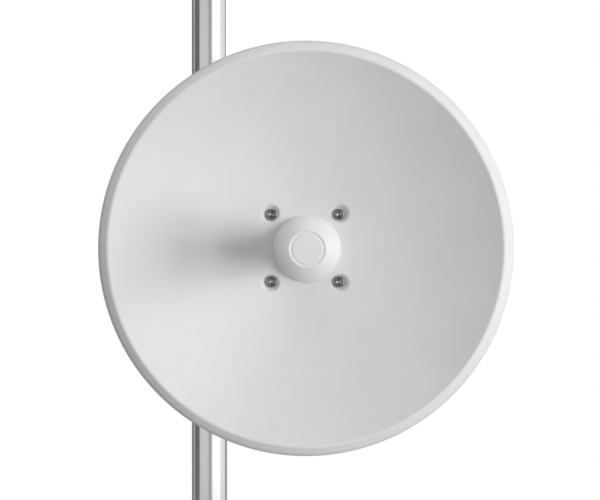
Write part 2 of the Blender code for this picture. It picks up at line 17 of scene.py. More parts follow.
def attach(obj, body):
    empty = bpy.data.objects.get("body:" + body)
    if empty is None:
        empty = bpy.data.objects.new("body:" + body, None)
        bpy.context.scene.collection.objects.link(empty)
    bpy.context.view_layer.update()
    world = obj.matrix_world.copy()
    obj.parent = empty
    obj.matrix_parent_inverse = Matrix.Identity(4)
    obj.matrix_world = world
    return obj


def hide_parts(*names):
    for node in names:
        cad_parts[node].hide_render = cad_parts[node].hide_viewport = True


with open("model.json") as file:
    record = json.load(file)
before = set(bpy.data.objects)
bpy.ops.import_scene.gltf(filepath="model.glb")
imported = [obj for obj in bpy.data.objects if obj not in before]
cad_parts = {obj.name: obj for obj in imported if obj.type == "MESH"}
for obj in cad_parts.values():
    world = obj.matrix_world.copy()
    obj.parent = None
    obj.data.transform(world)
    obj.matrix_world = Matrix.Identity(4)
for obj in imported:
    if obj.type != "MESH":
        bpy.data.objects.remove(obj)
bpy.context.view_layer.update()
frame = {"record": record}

# %% [markdown]
# ## Helpers for nodes
# Lights, finishes and shapes are all made by nodes here, and a tree of nodes is easiest to read when each
# node takes one line. `add` sets a node's sockets and links it to the nodes before it, `get` gives back one
# of its outputs, and `calc` is a sum on numbers.

# %% Write the helpers
def new_object(name, data):
    obj = bpy.data.objects.new(name, data)
    bpy.context.scene.collection.objects.link(obj)
    return obj


def new_material(name):
    material = bpy.data.materials.new(name)
    material.use_nodes = True
    return material, material.node_tree


def add(tree, kind, values=(), **settings):
    """Adds one node. Values go to its sockets by their place in a list or their name in a dict, and each is a
    plain value or another node's output, which is linked."""
    made = tree.nodes.new(kind)
    for name, value in settings.items():
        setattr(made, name, value)
    for key, value in values.items() if isinstance(values, dict) else enumerate(values):
        if isinstance(value, bpy.types.NodeSocket):
            tree.links.new(value, made.inputs[key])
        else:
            made.inputs[key].default_value = value
    return made


def get(tree, kind, values=(), out=0, **settings):
    return add(tree, kind, values, **settings).outputs[out]


def calc(tree, operation, *values):
    return get(tree, "ShaderNodeMath", values, operation=operation)


kinds = [kind for kind in dir(bpy.types) if kind.startswith(("ShaderNode", "GeometryNode", "FunctionNode"))]
print(f"{len(kinds)} kinds of nodes to choose from")

# %% [markdown]
# ## The camera
# The photograph looks almost straight along the dish's axis. The rim is a circle in it, not an ellipse, so
# the camera stands on the axis but for a few centimetres, and a long lens keeps the tube's two edges
# parallel. A camera aims along its own -Z, which `to_track_quat` turns towards any direction.

# %% Stand the camera in front of the bowl
CAMERA_PLACE = (0.08875, -2.3143, 0.46400)
CAMERA_AIM = (0.008983, 1.0, -0.007270)
CAMERA_LENS = 114.72

lens = bpy.data.cameras.new("long_lens")
lens.lens = CAMERA_LENS
camera = new_object("long_lens", lens)
camera.location = CAMERA_PLACE
camera.rotation_euler = Vector(CAMERA_AIM).to_track_quat("-Z", "Y").to_euler()
bpy.context.scene.camera = camera
print(f"camera {-CAMERA_PLACE[1]:.2f} m in front of the mast, lens {CAMERA_LENS} mm")

# %% [markdown]
# ## The studio
# White steel shows its shape only by soft light from one side. A bright soft box on the right gives the
# feed its soft shadow to the left, two smaller ones above and below it and a strip nearer the camera round
# the bowl, and weak ones above, behind and on the left keep the far sides from going black. Each box is
# placed by its direction from the dish, as a photographer would walk round it. The polished tube would
# mirror those boxes as hard bright bars, so gloss doesn't see the front ones. It sees white cards instead,
# which light nothing else. Two of them stand high and low, where the tube's two ends mirror them and the
# flats of the screws don't. Only the camera sees a white room, for which a Light Path node tells its rays
# from those that light the antenna.

# %% Light the room
ROOM_LIGHT = 0.20
WHITE = (1, 1, 1, 1)
SUBJECT = Vector((0.115, -0.130, 0.450))
TUBE = Vector((0, 0, 0.450))


def room_light():
    """A world that lights the antenna weakly, and that the camera alone sees at full strength."""
    world = bpy.data.worlds.new("studio")
    world.use_nodes = True
    tree = world.node_tree
    tree.nodes.clear()
    lit = get(tree, "ShaderNodeBackground", {"Color": WHITE, "Strength": ROOM_LIGHT})
    seen = get(tree, "ShaderNodeBackground", {"Color": WHITE, "Strength": 1})
    camera_ray = get(tree, "ShaderNodeLightPath", out="Is Camera Ray")
    add(tree, "ShaderNodeOutputWorld", [get(tree, "ShaderNodeMixShader", [camera_ray, lit, seen])])
    bpy.context.scene.world = world


def soft_box(name, to_the_right, above, distance, width, height, brightness, subject=SUBJECT):
    """A box that far from the subject, in degrees to the right of the camera's side and above the level. Its
    power follows from its size, so that brightness is what the eye would see on it."""
    right, up = math.radians(to_the_right), math.radians(above)
    away = Vector((math.sin(right) * math.cos(up), -math.cos(right) * math.cos(up), math.sin(up)))
    light = bpy.data.lights.new(name, "AREA")
    light.shape = "RECTANGLE"
    light.size = width
    light.size_y = height
    light.energy = math.pi * width * height * brightness
    box = new_object(name, light)
    box.location = subject + away * distance
    box.rotation_euler = (-away).to_track_quat("-Z", "Y").to_euler()
    box.visible_camera = False
    return box


room_light()
for name, *place_size_and_brightness in (
    ("key_box", 50, 0, 2.4, 1.2, 0.8, 9.3),
    ("upper_key_box", 65, 13, 2.0, 0.5, 0.5, 6.8),
    ("lower_key_box", 60, -13, 2.0, 0.5, 0.5, 1.5),
    ("strip_box", 22, 0, 2.0, 0.26, 0.7, 8.8),
    ("left_box", -90, 40, 1.5, 1.2, 1.2, 0.62),
    ("brow_box", 0, 45, 1.5, 1.2, 1.2, 1.05),
):
    soft_box(name, *place_size_and_brightness).visible_glossy = False
soft_box("top_box", 0, 75, 1.2, 1.2, 1.2, 0.4)
soft_box("rear_box", 172, 25, 1.8, 1.2, 1.0, 3.0)
bpy.context.scene.view_settings.view_transform = "Standard"
print("lit by the room and", len(bpy.data.lights), "soft boxes")

# %% Stand the cards that the tube mirrors
def card(name, to_the_right, distance, width, brightness, above=0, height=1.4):
    """A soft box round the tube that only gloss sees."""
    soft_box(name, to_the_right, above, distance, width, height, brightness, TUBE).visible_diffuse = False


card("left_card", -34, 2.0, 2.42, 0.75)
card("high_card", 8, 2.2, 0.80, 0.40, 12, 0.4)
card("low_card", 8, 2.2, 0.80, 0.40, -12, 0.4)
card("right_card", 48, 1.7, 1.92, 1.65)
card("side_card", 101, 1.5, 1.34, 1.0)
card("rear_left_card", -117, 1.5, 0.28, 0.7)
card("rear_right_card", 144, 1.5, 0.86, 0.25)
print("cards:", ", ".join(light.name for light in bpy.data.lights if "card" in light.name))

# %% Lay the floor
FLOOR_RADIUS = 0.85


def floor_paint():
    paint, tree = new_material("white floor")
    shader = tree.nodes["Principled BSDF"].inputs
    shader["Base Color"].default_value = (0.62, 0.62, 0.62, 1)
    shader["Roughness"].default_value = 0.7
    return paint


bm = bmesh.new()
bmesh.ops.create_circle(bm, cap_ends=True, segments=96, radius=FLOOR_RADIUS)
mesh = bpy.data.meshes.new("studio_floor")
bm.to_mesh(mesh)
bm.free()
mesh.materials.append(floor_paint())
studio_floor = new_object("studio_floor", mesh)
print(f"floor {FLOOR_RADIUS * 2:.1f} m across")

# %% [markdown]
# ## Finishes
# Two effects return in almost every finish: a fine relief, such as the orange peel of baked paint or the
# skin of a casting, and a slow drift of tone and gloss, as handling and weather leave. Each is a shader
# node group, built once and placed in each material with its own values. Both read Object coordinates, so
# that they stay on the piece.

# %% Build the shared groups
def shader_group(name, inputs, outputs):
    """A new group, what it is given and the place on the piece. The inputs are pairs of name and value."""
    tree = bpy.data.node_groups.new(name, "ShaderNodeTree")
    for label, value in inputs:
        tree.interface.new_socket(label, in_out="INPUT", socket_type="NodeSocketFloat").default_value = value
    for label in outputs:
        tree.interface.new_socket(label, in_out="OUTPUT", socket_type="NodeSocketFloat")
    return tree, tree.nodes.new("NodeGroupInput").outputs, get(tree, "ShaderNodeTexCoord", out="Object")


def fine_relief():
    """Height of a relief of Scale bumps a metre. Coarseness mixes in bumps four times as wide."""
    tree, given, place = shader_group("fine relief", [("Scale", 900.0), ("Coarseness", 0.3)], ["Height"])
    wide_scale = calc(tree, "MULTIPLY", given["Scale"], 0.25)
    fine = get(tree, "ShaderNodeTexNoise", {"Vector": place, "Scale": given["Scale"], "Detail": 2.0})
    wide = get(tree, "ShaderNodeTexNoise", {"Vector": place, "Scale": wide_scale, "Detail": 1.0})
    add(tree, "NodeGroupOutput", [get(tree, "ShaderNodeMix", {0: given["Coarseness"], 2: fine, 3: wide})])
    return tree


def slow_drift(contrast=3.0):
    """A mask from 0 to 1 that drifts over the surface, for tone and gloss. Scale is in patches a metre."""
    tree, given, place = shader_group("slow drift", [("Scale", 14.0)], ["Mask"])
    noise = get(tree, "ShaderNodeTexNoise", {"Vector": place, "Scale": given["Scale"], "Detail": 5.0})
    spread = calc(tree, "MULTIPLY", calc(tree, "SUBTRACT", noise, 0.5), contrast)
    add(tree, "NodeGroupOutput", [get(tree, "ShaderNodeClamp", [calc(tree, "ADD", spread, 0.5)])])
    return tree


FINE_RELIEF = fine_relief()
SLOW_DRIFT = slow_drift()
print("shader groups:", FINE_RELIEF.name, "and", SLOW_DRIFT.name)

# %% Mix a finish
def drift_mask(tree, patches):
    return get(tree, "ShaderNodeGroup", {"Scale": patches}, "Mask", node_tree=SLOW_DRIFT)


def relief_height(tree, bumps, coarseness=0.3):
    values = {"Scale": bumps, "Coarseness": coarseness}
    return get(tree, "ShaderNodeGroup", values, "Height", node_tree=FINE_RELIEF)


def shade(tree, metallic, tone, dark, light, roughness, height, depth):
    """Feeds the shader. Tone 0 gives the dark colour and the first roughness, tone 1 the light one and the
    last, and the height makes a relief that is depth metres high."""
    shader = tree.nodes["Principled BSDF"].inputs
    shader["Metallic"].default_value = metallic
    colours = {0: tone, 6: (*dark, 1), 7: (*light, 1)}
    tree.links.new(get(tree, "ShaderNodeMix", colours, 2, data_type="RGBA"), shader["Base Color"])
    glosses = {0: tone, 3: roughness[0], 4: roughness[1]}
    tree.links.new(get(tree, "ShaderNodeMapRange", glosses), shader["Roughness"])
    tree.links.new(get(tree, "ShaderNodeBump", {"Height": height, "Distance": depth}), shader["Normal"])


def finish(name, dark, light, roughness, metallic=0.0, relief=900.0, depth=0.00002, coarse=0.3, patches=14.0):
    """A material whose tone drifts in that many patches a metre, with a relief of that many bumps a metre."""
    material, tree = new_material(name)
    height = relief_height(tree, relief, coarse)
    shade(tree, metallic, drift_mask(tree, patches), dark, light, roughness, height, depth)
    return material


def stainless(name, dark, light, roughness):
    return finish(name, [dark] * 3, [light] * 3, roughness, 1.0, 3000.0, 0.000001, patches=60.0)


def moulded(colour, relief, depth, dark, light, roughness):
    return finish(f"moulded {colour} plastic", dark, light, roughness, relief=relief, depth=depth)


powder_coat = finish("baked white powder coat", (0.715, 0.715, 0.710), (0.745, 0.745, 0.740), (0.48, 0.58))
white_moulding = moulded("white", 2500.0, 0.00001, (0.74, 0.74, 0.735), (0.77, 0.77, 0.765), (0.38, 0.46))
radio_white = finish(
    "white radio shell", (0.76, 0.76, 0.75), (0.80, 0.80, 0.79), (0.50, 0.62), relief=1600.0, depth=0.00004
)
grey_moulding = moulded("grey", 1800.0, 0.00002, (0.44, 0.44, 0.43), (0.50, 0.50, 0.49), (0.45, 0.58))
black_moulding = moulded("black", 1500.0, 0.00004, (0.022, 0.022, 0.023), (0.045, 0.045, 0.046), (0.42, 0.62))
blasted = {"metallic": 0.9, "relief": 1100.0, "depth": 0.00008, "coarse": 0.5, "patches": 30.0}
cast_alloy = finish("blasted cast aluminium", (0.50, 0.51, 0.52), (0.60, 0.61, 0.62), (0.46, 0.60), **blasted)
bright_steel = stainless("bright stainless steel", 0.36, 0.44, (0.12, 0.20))
dark_steel = stainless("dark stainless steel", 0.25, 0.31, (0.10, 0.16))
print(len(bpy.data.materials), "materials mixed so far")

# %% [markdown]
# ## Drawn and galvanised metal
# Two metals need more than drift. A tube that was drawn through a die and polished keeps hair lines along
# its length, so its noise is stretched far along one axis. Hot-dip zinc cools in crystals a few millimetres
# wide, each of which mirrors the light its own way: a Voronoi texture gives the crystals, and one random
# value in each sets tone and gloss.

# %% Mix the drawn metals
HAIR_LINES = 2600.0
HAIR_STRETCH = 150


def drawn_metal(name, dark, light, roughness, axis):
    """Metal with hair lines along the axis 0, 1 or 2."""
    material, tree = new_material(name)
    scale = [HAIR_LINES, HAIR_LINES, HAIR_LINES]
    scale[axis] /= HAIR_STRETCH
    place = get(tree, "ShaderNodeTexCoord", out="Object")
    mapped = get(tree, "ShaderNodeMapping", {"Vector": place, "Scale": scale})
    hairs = get(tree, "ShaderNodeTexNoise", {"Vector": mapped, "Scale": 1.0, "Detail": 3.0})
    tone = calc(tree, "MULTIPLY_ADD", hairs, 0.6, calc(tree, "MULTIPLY", drift_mask(tree, 20.0), 0.4))
    shade(tree, 1.0, tone, dark, light, roughness, hairs, 0.000004)
    return material


polished_tube = drawn_metal("polished stainless tube", [0.57] * 3, [0.64] * 3, (0.15, 0.23), 2)
satin_aluminium = drawn_metal("satin aluminium tube", (0.62, 0.62, 0.63), (0.74, 0.74, 0.75), (0.26, 0.42), 1)
print("drawn metals:", polished_tube.name, "and", satin_aluminium.name)

# %% Mix the galvanised steel
CRYSTALS = 190.0


def zinc_spangle():
    """Tone is one random value in each crystal, and Border is 1 where two crystals meet."""
    tree, given, place = shader_group("zinc spangle", [("Scale", CRYSTALS)], ["Tone", "Border"])
    wobble = get(tree, "ShaderNodeTexNoise", {"Vector": place, "Scale": 300.0, "Detail": 2.0}, "Color")
    shift = get(tree, "ShaderNodeVectorMath", {0: wobble, 3: 0.004}, operation="SCALE")
    bent = get(tree, "ShaderNodeVectorMath", {0: place, 1: shift}, operation="ADD")
    crystals = {"Vector": bent, "Scale": given["Scale"]}
    cells = get(tree, "ShaderNodeTexVoronoi", crystals, "Color")
    seams = get(tree, "ShaderNodeTexVoronoi", crystals, "Distance", feature="DISTANCE_TO_EDGE")
    border = get(tree, "ShaderNodeMapRange", {0: seams, 1: 0.0, 2: 0.06, 3: 1.0, 4: 0.0})
    add(tree, "NodeGroupOutput", [get(tree, "ShaderNodeSeparateColor", [cells]), border])
    return tree


def galvanised_steel():
    material, tree = new_material("hot-dip galvanised steel")
    spangle = add(tree, "ShaderNodeGroup", node_tree=zinc_spangle()).outputs
    drift = calc(tree, "MULTIPLY", drift_mask(tree, 18.0), 0.45)
    tone = calc(tree, "MULTIPLY_ADD", spangle["Tone"], 0.55, drift)
    height = calc(tree, "MULTIPLY_ADD", spangle["Border"], -0.3, relief_height(tree, 700.0))
    shade(tree, 0.92, tone, (0.40, 0.41, 0.42), (0.60, 0.61, 0.62), (0.50, 0.32), height, 0.00003)
    return material


galvanised = galvanised_steel()
print("crystals about", round(1000 / CRYSTALS), "mm wide on", galvanised.name)

# %% [markdown]
# ## Handing a piece over
# Each finished piece rides on one body of the frame, and the solids that it stands for are hidden. Its place
# is in its mesh, with the object itself at the origin, unturned.

# %% Define the last steps of every piece
UPRIGHT = Matrix.Identity(4)


def smooth_but_corners(mesh, corner=30):
    mesh.shade_smooth()
    mesh.set_sharp_from_angle(angle=math.radians(corner))


def bake(obj):
    """Turns what the object's modifiers make into its plain mesh."""
    graph = bpy.context.evaluated_depsgraph_get()
    made = bpy.data.meshes.new_from_object(obj.evaluated_get(graph), depsgraph=graph)
    obj.modifiers.clear()
    obj.data = made
    return made


def straighten_flats(obj, weight=50):
    """Weights each corner's normal by the size of the faces round it, or a long flat would be shaded as if it
    were bent by the small round at its edge."""
    modifier = obj.modifiers.new("weighted normals", "WEIGHTED_NORMAL")
    modifier.keep_sharp = True
    modifier.weight = weight
    bake(obj)


def modelled(name, bm, material=None, place=UPRIGHT, corner=30):
    """The object of a bmesh, moved to its place, with its faces outwards and only its corners sharp."""
    bmesh.ops.recalc_face_normals(bm, faces=bm.faces)
    bm.transform(place)
    mesh = bpy.data.meshes.new(name)
    bm.to_mesh(mesh)
    bm.free()
    if material:
        mesh.materials.append(material)
    smooth_but_corners(mesh, corner)
    return new_object(name, mesh)


def dress(obj, body, slot, *nodes):
    straighten_flats(obj)
    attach(obj, body)
    if nodes:
        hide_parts(*nodes)
    triangles = sum(len(face.vertices) - 2 for face in obj.data.polygons)
    print(f"{obj.name}: {triangles} triangles, rides on {body}")


def numbered(node):
    """The names of four solids of one kind."""
    return [f"{node}_{k}" for k in range(1, 5)]


slots = {part["material_slot"] for part in frame["record"]["subparts"]}
print("slots of the record:", ", ".join(sorted(slots)))

# %% [markdown]
# ## The dish
# A pressed dish is a parabola turned about its axis: a ray along the axis is thrown to the focus from
# anywhere on it, so the height is the radius squared over four focal lengths. Outside the parabola the
# sheet folds back to a conical lip and a short skirt, which keep the thin steel stiff. Near the middle the
# press leaves four round seats, so that the screws stand square although the bowl slopes. A shape that
# follows a rule suits Geometry Nodes: the tree turns a line of points, presses the seats, then gives the
# sheet its thickness.

# %% Draw the line of the bowl, the lip and the skirt
PLAY = 0.0003
DISH_RIGHT = 0.115
DISH_HEIGHT = 0.450
POLE_TO_VERTEX = 0.090
LYING = Matrix.Rotation(math.pi / 2, 4, "X")
DISH_PLACE = Matrix.Translation((DISH_RIGHT, -POLE_TO_VERTEX, DISH_HEIGHT)) @ LYING
FOCAL_LENGTH = 0.169
SHEET = 0.0015
HOLE_RADIUS = 0.030
FOLD_RADIUS = 0.2235
DISH_RADIUS = 0.235
LIP_DROP = 0.0068
SKIRT_LENGTH = 0.0068
SCREW_SPACING = 0.078
SEAT_HEIGHT = 0.0020


def bowl(radius):
    return radius**2 / (4 * FOCAL_LENGTH)


def softened(points, steps=5):
    """A line of (radius, height, bend) points in which each corner with a bend is an arc of that radius."""
    line = []
    for i, (radius, height, bend) in enumerate(points):
        here = Vector((radius, height))
        if not bend:
            line.append(here)
            continue
        before = (Vector(points[i - 1][:2]) - here).normalized()
        after = (Vector(points[(i + 1) % len(points)][:2]) - here).normalized()
        half = before.angle(after) / 2
        centre = here + (before + after).normalized() * (bend / math.sin(half))
        first = here + before * (bend / math.tan(half)) - centre
        last = here + after * (bend / math.tan(half)) - centre
        sweep = first.angle_signed(last)
        for k in range(steps + 1):
            line.append(centre + Matrix.Rotation(-sweep * k / steps, 2) @ first)
    return line


def dish_line(rings=112):
    """Rings lie close together near the screw seats and wider apart towards the fold."""
    line = []
    for k in range(rings):
        radius = HOLE_RADIUS + (FOLD_RADIUS - HOLE_RADIUS) * (k / rings) ** 2
        line.append((radius, bowl(radius), 0))
    crest = bowl(FOLD_RADIUS)
    edge = crest - LIP_DROP
    line.append((FOLD_RADIUS, crest, 0.0040))
    line.append((DISH_RADIUS, edge, 0.0100))
    line.append((DISH_RADIUS, edge - SKIRT_LENGTH, 0))
    return softened(line, 9)


profile = dish_line()
print(f"{len(profile)} points from the hub hole to the skirt, bowl {bowl(FOLD_RADIUS) * 1000:.1f} mm deep")

# %% Start and end a tree
def geometry_tree(name, inputs):
    """An empty tree and what it is given. Inputs are (name, kind of socket). Each tree gets a Finish too."""
    tree = bpy.data.node_groups.new(name, "GeometryNodeTree")
    for way in ("OUTPUT", "INPUT"):
        tree.interface.new_socket("Geometry", in_out=way, socket_type="NodeSocketGeometry")
    for label, kind in [*inputs, ("Finish", "Material")]:
        tree.interface.new_socket(label, in_out="INPUT", socket_type="NodeSocket" + kind)
    return tree, tree.nodes.new("NodeGroupInput").outputs


def finished(tree, geometry, given):
    """Makes instances real, puts the finish on and hands the geometry out."""
    real = get(tree, "GeometryNodeRealizeInstances", [geometry])
    done = get(tree, "GeometryNodeSetMaterial", {"Geometry": real, "Material": given["Finish"]})
    add(tree, "NodeGroupOutput", [done])
    print(f"tree '{tree.name}' has {len(tree.nodes)} nodes")
    return tree


def run_tree(obj, tree, material, values):
    """Adds the tree to the object, sets its named inputs by their identifiers, and bakes what it makes, with
    all faces outwards."""
    values = {**values, "Finish": material}
    modifier = obj.modifiers.new(tree.name, "NODES")
    modifier.node_group = tree
    for item in tree.interface.items_tree:
        if item.item_type == "SOCKET" and item.in_out == "INPUT" and item.name in values:
            modifier[item.identifier] = values[item.name]
    made = bake(obj)
    bm = bmesh.new()
    bm.from_mesh(made)
    bmesh.ops.recalc_face_normals(bm, faces=bm.faces)
    bm.to_mesh(made)
    bm.free()
    smooth_but_corners(made)


print(len(bpy.data.node_groups), "groups of nodes so far, all for finishes")

# %% Build the tree that presses a dish
WELD_DISTANCE = 0.000002


def turned_about_axis(tree, line, sides):
    """Skins the line's points (radius, 0, height) turned about Z, as a grid that is rolled up and closed."""
    points = get(tree, "GeometryNodeAttributeDomainSize", [line], "Point Count")
    columns = calc(tree, "ADD", sides, 1.0)
    grid = get(tree, "GeometryNodeMeshGrid", {"Vertices X": points, "Vertices Y": columns})
    index = get(tree, "GeometryNodeInputIndex")
    row = calc(tree, "FLOOR", calc(tree, "DIVIDE", calc(tree, "ADD", index, 0.5), columns))
    side = calc(tree, "FLOORED_MODULO", index, columns)
    turn = calc(tree, "MULTIPLY", side, calc(tree, "DIVIDE", math.tau, sides))
    wanted = {"Geometry": line, "Value": get(tree, "GeometryNodeInputPosition"), "Index": row}
    drawn = get(tree, "GeometryNodeSampleIndex", wanted, data_type="FLOAT_VECTOR")
    radius, _, height = add(tree, "ShaderNodeSeparateXYZ", [drawn]).outputs
    across = calc(tree, "MULTIPLY", radius, calc(tree, "COSINE", turn))
    along = calc(tree, "MULTIPLY", radius, calc(tree, "SINE", turn))
    rolled = get(tree, "ShaderNodeCombineXYZ", [across, along, height])
    moved = get(tree, "GeometryNodeSetPosition", {"Geometry": grid, "Position": rolled})
    return get(tree, "GeometryNodeMergeByDistance", {"Geometry": moved, "Distance": WELD_DISTANCE})


def pressed_seats(tree, skin, given):
    """Lowers the skin to a flat round seat at each screw, with a sloping wall and softly rounded edges."""
    x, y, z = add(tree, "ShaderNodeSeparateXYZ", [get(tree, "GeometryNodeInputPosition")]).outputs
    half = calc(tree, "DIVIDE", given["Screw Spacing"], 2.0)
    beside = calc(tree, "SUBTRACT", calc(tree, "ABSOLUTE", x), half)
    above = calc(tree, "SUBTRACT", calc(tree, "ABSOLUTE", y), half)
    squares = calc(tree, "ADD", calc(tree, "POWER", beside, 2.0), calc(tree, "POWER", above, 2.0))
    outside = calc(tree, "SUBTRACT", calc(tree, "SQRT", squares), given["Seat Radius"])
    past = calc(tree, "SMOOTH_MAX", outside, 0.0, given["Softness"])
    wall = calc(tree, "MULTIPLY_ADD", past, given["Seat Slope"], given["Seat Height"])
    pressed = calc(tree, "SMOOTH_MIN", z, wall, given["Softness"])
    target = get(tree, "ShaderNodeCombineXYZ", [x, y, pressed])
    return get(tree, "GeometryNodeSetPosition", {"Geometry": skin, "Position": target})


def thickened(tree, skin, sheet):
    """Gives an open skin the sheet's thickness: a copy pushed back along the normals, and its edges."""
    back = calc(tree, "MULTIPLY", sheet, -1.0)
    pushed = get(tree, "GeometryNodeExtrudeMesh", {"Mesh": skin, "Offset Scale": back, "Individual": False})
    both = add(tree, "GeometryNodeJoinGeometry")
    for part in (skin, get(tree, "GeometryNodeFlipFaces", [pushed])):
        tree.links.new(part, both.inputs[0])
    return get(tree, "GeometryNodeMergeByDistance", {"Geometry": both.outputs[0], "Distance": WELD_DISTANCE})


def pressed_dish():
    sizes = ["Screw Spacing", "Seat Radius", "Seat Height", "Seat Slope", "Softness", "Sheet"]
    tree, given = geometry_tree("pressed dish", [("Sides", "Int"), *[(size, "Float") for size in sizes]])
    skin = turned_about_axis(tree, given["Geometry"], given["Sides"])
    return finished(tree, thickened(tree, pressed_seats(tree, skin, given), given["Sheet"]), given)


PRESSED_DISH = pressed_dish()

# %% Press the dish
DISH_VALUES = {
    "Sides": 320,
    "Screw Spacing": SCREW_SPACING,
    "Seat Radius": 0.0074,
    "Seat Height": SEAT_HEIGHT,
    "Seat Slope": 0.95,
    "Softness": 0.0012,
    "Sheet": SHEET,
}


def line_object(name, points):
    """A line of (radius, height) points, standing in the XZ plane."""
    mesh = bpy.data.meshes.new(name)
    mesh.from_pydata([(p[0], 0, p[1]) for p in points], [(i, i + 1) for i in range(len(points) - 1)], [])
    return new_object(name, mesh)


dish_shell = line_object("dish_shell", profile)
run_tree(dish_shell, PRESSED_DISH, powder_coat, DISH_VALUES)
dish_shell.data.transform(DISH_PLACE)
dress(dish_shell, "antenna", "dish_paint", "dish_reflector")

# %% [markdown]
# ## The feed
# A lathe makes the feed's parts on the real antenna, or a round mould does. So each is a profile turned
# about the axis: the collar, the tube, the cone that throws the waves back, and the low round cap. The
# profile's corners are drawn as arcs, because no edge on a moulding is sharp, and a bright line on a soft
# edge is what makes it look real.

# %% Turn a profile
TURNED_SIDES = 128


def turned_piece(name, points, material, sides=TURNED_SIDES, place=DISH_PLACE):
    """A solid turned from (radius, height, bend) points, which start and end on the axis or close a ring."""
    bm = bmesh.new()
    rings = []
    for p in softened(points):
        turns = [math.tau * k / sides for k in range(sides if p.x > 0 else 1)]
        rings.append([bm.verts.new((p.x * math.cos(t), p.x * math.sin(t), p.y)) for t in turns])
    if points[0][0] > 0:
        rings.append(rings[0])
    for low, high in zip(rings, rings[1:]):
        for k in range(sides):
            corners = [ring[i % len(ring)] for ring, i in ((low, k), (low, k + 1), (high, k + 1), (high, k))]
            bm.faces.new(list(dict.fromkeys(corners)))
    return modelled(name, bm, material, place)


print(f"the sides of a cap 73 mm across are {math.pi * 73 / TURNED_SIDES:.1f} mm wide")

# %% Turn the cap
CAP_RADIUS = 0.0365
CAP_FRONT = 0.178
CAP_REAR = 0.154
CONE_RADIUS = 0.033
CONE_FRONT = 0.156
FACE_RADIUS = 0.0190
GROOVE_INNER = 0.0158
GROOVE_DEPTH = 0.0005
SHOULDER_RADIUS = FACE_RADIUS + 0.001
SHOULDER_START = math.radians(22)
SHOULDER_END = math.radians(43)
RIM_ROUND = 0.0042


def shoulder_height(radius):
    """The slope grows evenly, as an angle, from the shoulder's start to its end. The height sums it up."""
    growth = (SHOULDER_END - SHOULDER_START) / (CAP_RADIUS - SHOULDER_RADIUS)
    slope = SHOULDER_START + growth * (radius - SHOULDER_RADIUS)
    return CAP_FRONT - math.log(math.cos(SHOULDER_START) / math.cos(slope)) / growth


def cap_line(steps=18):
    """The face has a shallow ring round it, and the shoulder runs down to a well rounded rim."""
    line = [(0, CAP_FRONT, 0), (GROOVE_INNER, CAP_FRONT, 0.0003)]
    line.append((GROOVE_INNER + 0.0006, CAP_FRONT - GROOVE_DEPTH, 0.0004))
    line.append((FACE_RADIUS - 0.0004, CAP_FRONT - GROOVE_DEPTH, 0.0003))
    line.append((FACE_RADIUS + 0.0002, CAP_FRONT, 0.0003))
    last = CAP_RADIUS - RIM_ROUND - SHOULDER_RADIUS
    for k in range(steps):
        radius = SHOULDER_RADIUS + last * k / (steps - 1)
        line.append((radius, shoulder_height(radius), 0 if k else 0.0008))
    line.append((CAP_RADIUS, shoulder_height(CAP_RADIUS), RIM_ROUND))
    line.append((CAP_RADIUS, CAP_REAR, 0.0008))
    line.append((CONE_RADIUS + PLAY, CAP_REAR, 0.0004))
    line.append((CONE_RADIUS + PLAY, CONE_FRONT + PLAY, 0))
    line.append((0, CONE_FRONT + PLAY, 0))
    return line


dress(turned_piece("cap_moulding", cap_line(), white_moulding), "antenna", "white_plastic", "feed_cap")

# %% Turn the rest of the feed
FEED_REAR = -0.0028
TUBE_RADIUS = 0.0212
TUBE_TIP_RADIUS = 0.0203
TUBE_WALL = 0.0015
TUBE_FRONT = 0.140
COLLAR_RADIUS = 0.036
COLLAR_REAR = 0.0024
COLLAR_FRONT = 0.016


def collar_line():
    """A flanged ring that clips the tube into the dish, with a gasket groove behind its front edge."""
    wide, front, bore, neck = COLLAR_RADIUS, COLLAR_FRONT, TUBE_RADIUS + PLAY, HOLE_RADIUS - 0.0005
    line = [(wide, COLLAR_REAR, 0.0004), (wide, front - 0.0068, 0.0003)]
    line += [(wide - 0.0007, front - 0.0064, 0.0002), (wide - 0.0007, front - 0.0054, 0.0002)]
    line += [(wide, front - 0.0050, 0.0003)]
    line += [(wide - 0.0004, front - 0.0026, 0.0012), (wide - 0.0050, front, 0.0016), (bore, front, 0.0005)]
    return line + [(bore, FEED_REAR, 0.0004), (neck, FEED_REAR, 0.0004), (neck, COLLAR_REAR, 0.0003)]


def tube_line():
    """The tube is drawn a little narrower towards its tip, where a bead is rolled in to hold the cone."""
    tip, front, inside = TUBE_TIP_RADIUS, TUBE_FRONT, TUBE_TIP_RADIUS - TUBE_WALL
    line = [(TUBE_RADIUS, FEED_REAR, 0.0003), (TUBE_RADIUS, COLLAR_FRONT, 0)]
    line += [(tip + 0.00004, front - 0.0125, 0.0010), (tip - 0.0007, front - 0.0110, 0.0008)]
    line += [(tip - 0.0007, front - 0.0100, 0.0008)]
    line += [(tip, front - 0.0085, 0.0010), (tip, front, 0.0003)]
    return line + [(inside, front, 0.0003), (inside, FEED_REAR, 0.0003)]


def cone_line():
    """The cone that throws the waves back, with a plug that fits the tube and a step on its flank."""
    seat, plug = TUBE_FRONT + PLAY, TUBE_TIP_RADIUS - TUBE_WALL - PLAY
    line = [(0, CONE_FRONT, 0), (CONE_RADIUS, CONE_FRONT, 0.0004), (CONE_RADIUS, CONE_FRONT - 0.0014, 0.0004)]
    line += [(0.0290, seat + 0.0106, 0.0006), (0.0286, seat + 0.0092, 0.0006)]
    line += [(TUBE_TIP_RADIUS + 0.0004, seat, 0.0004), (plug, seat, 0.0002), (plug, seat - 0.0112, 0.0005)]
    return line + [(plug - 0.0008, seat - 0.0120, 0.0003), (0, seat - 0.0120, 0)]


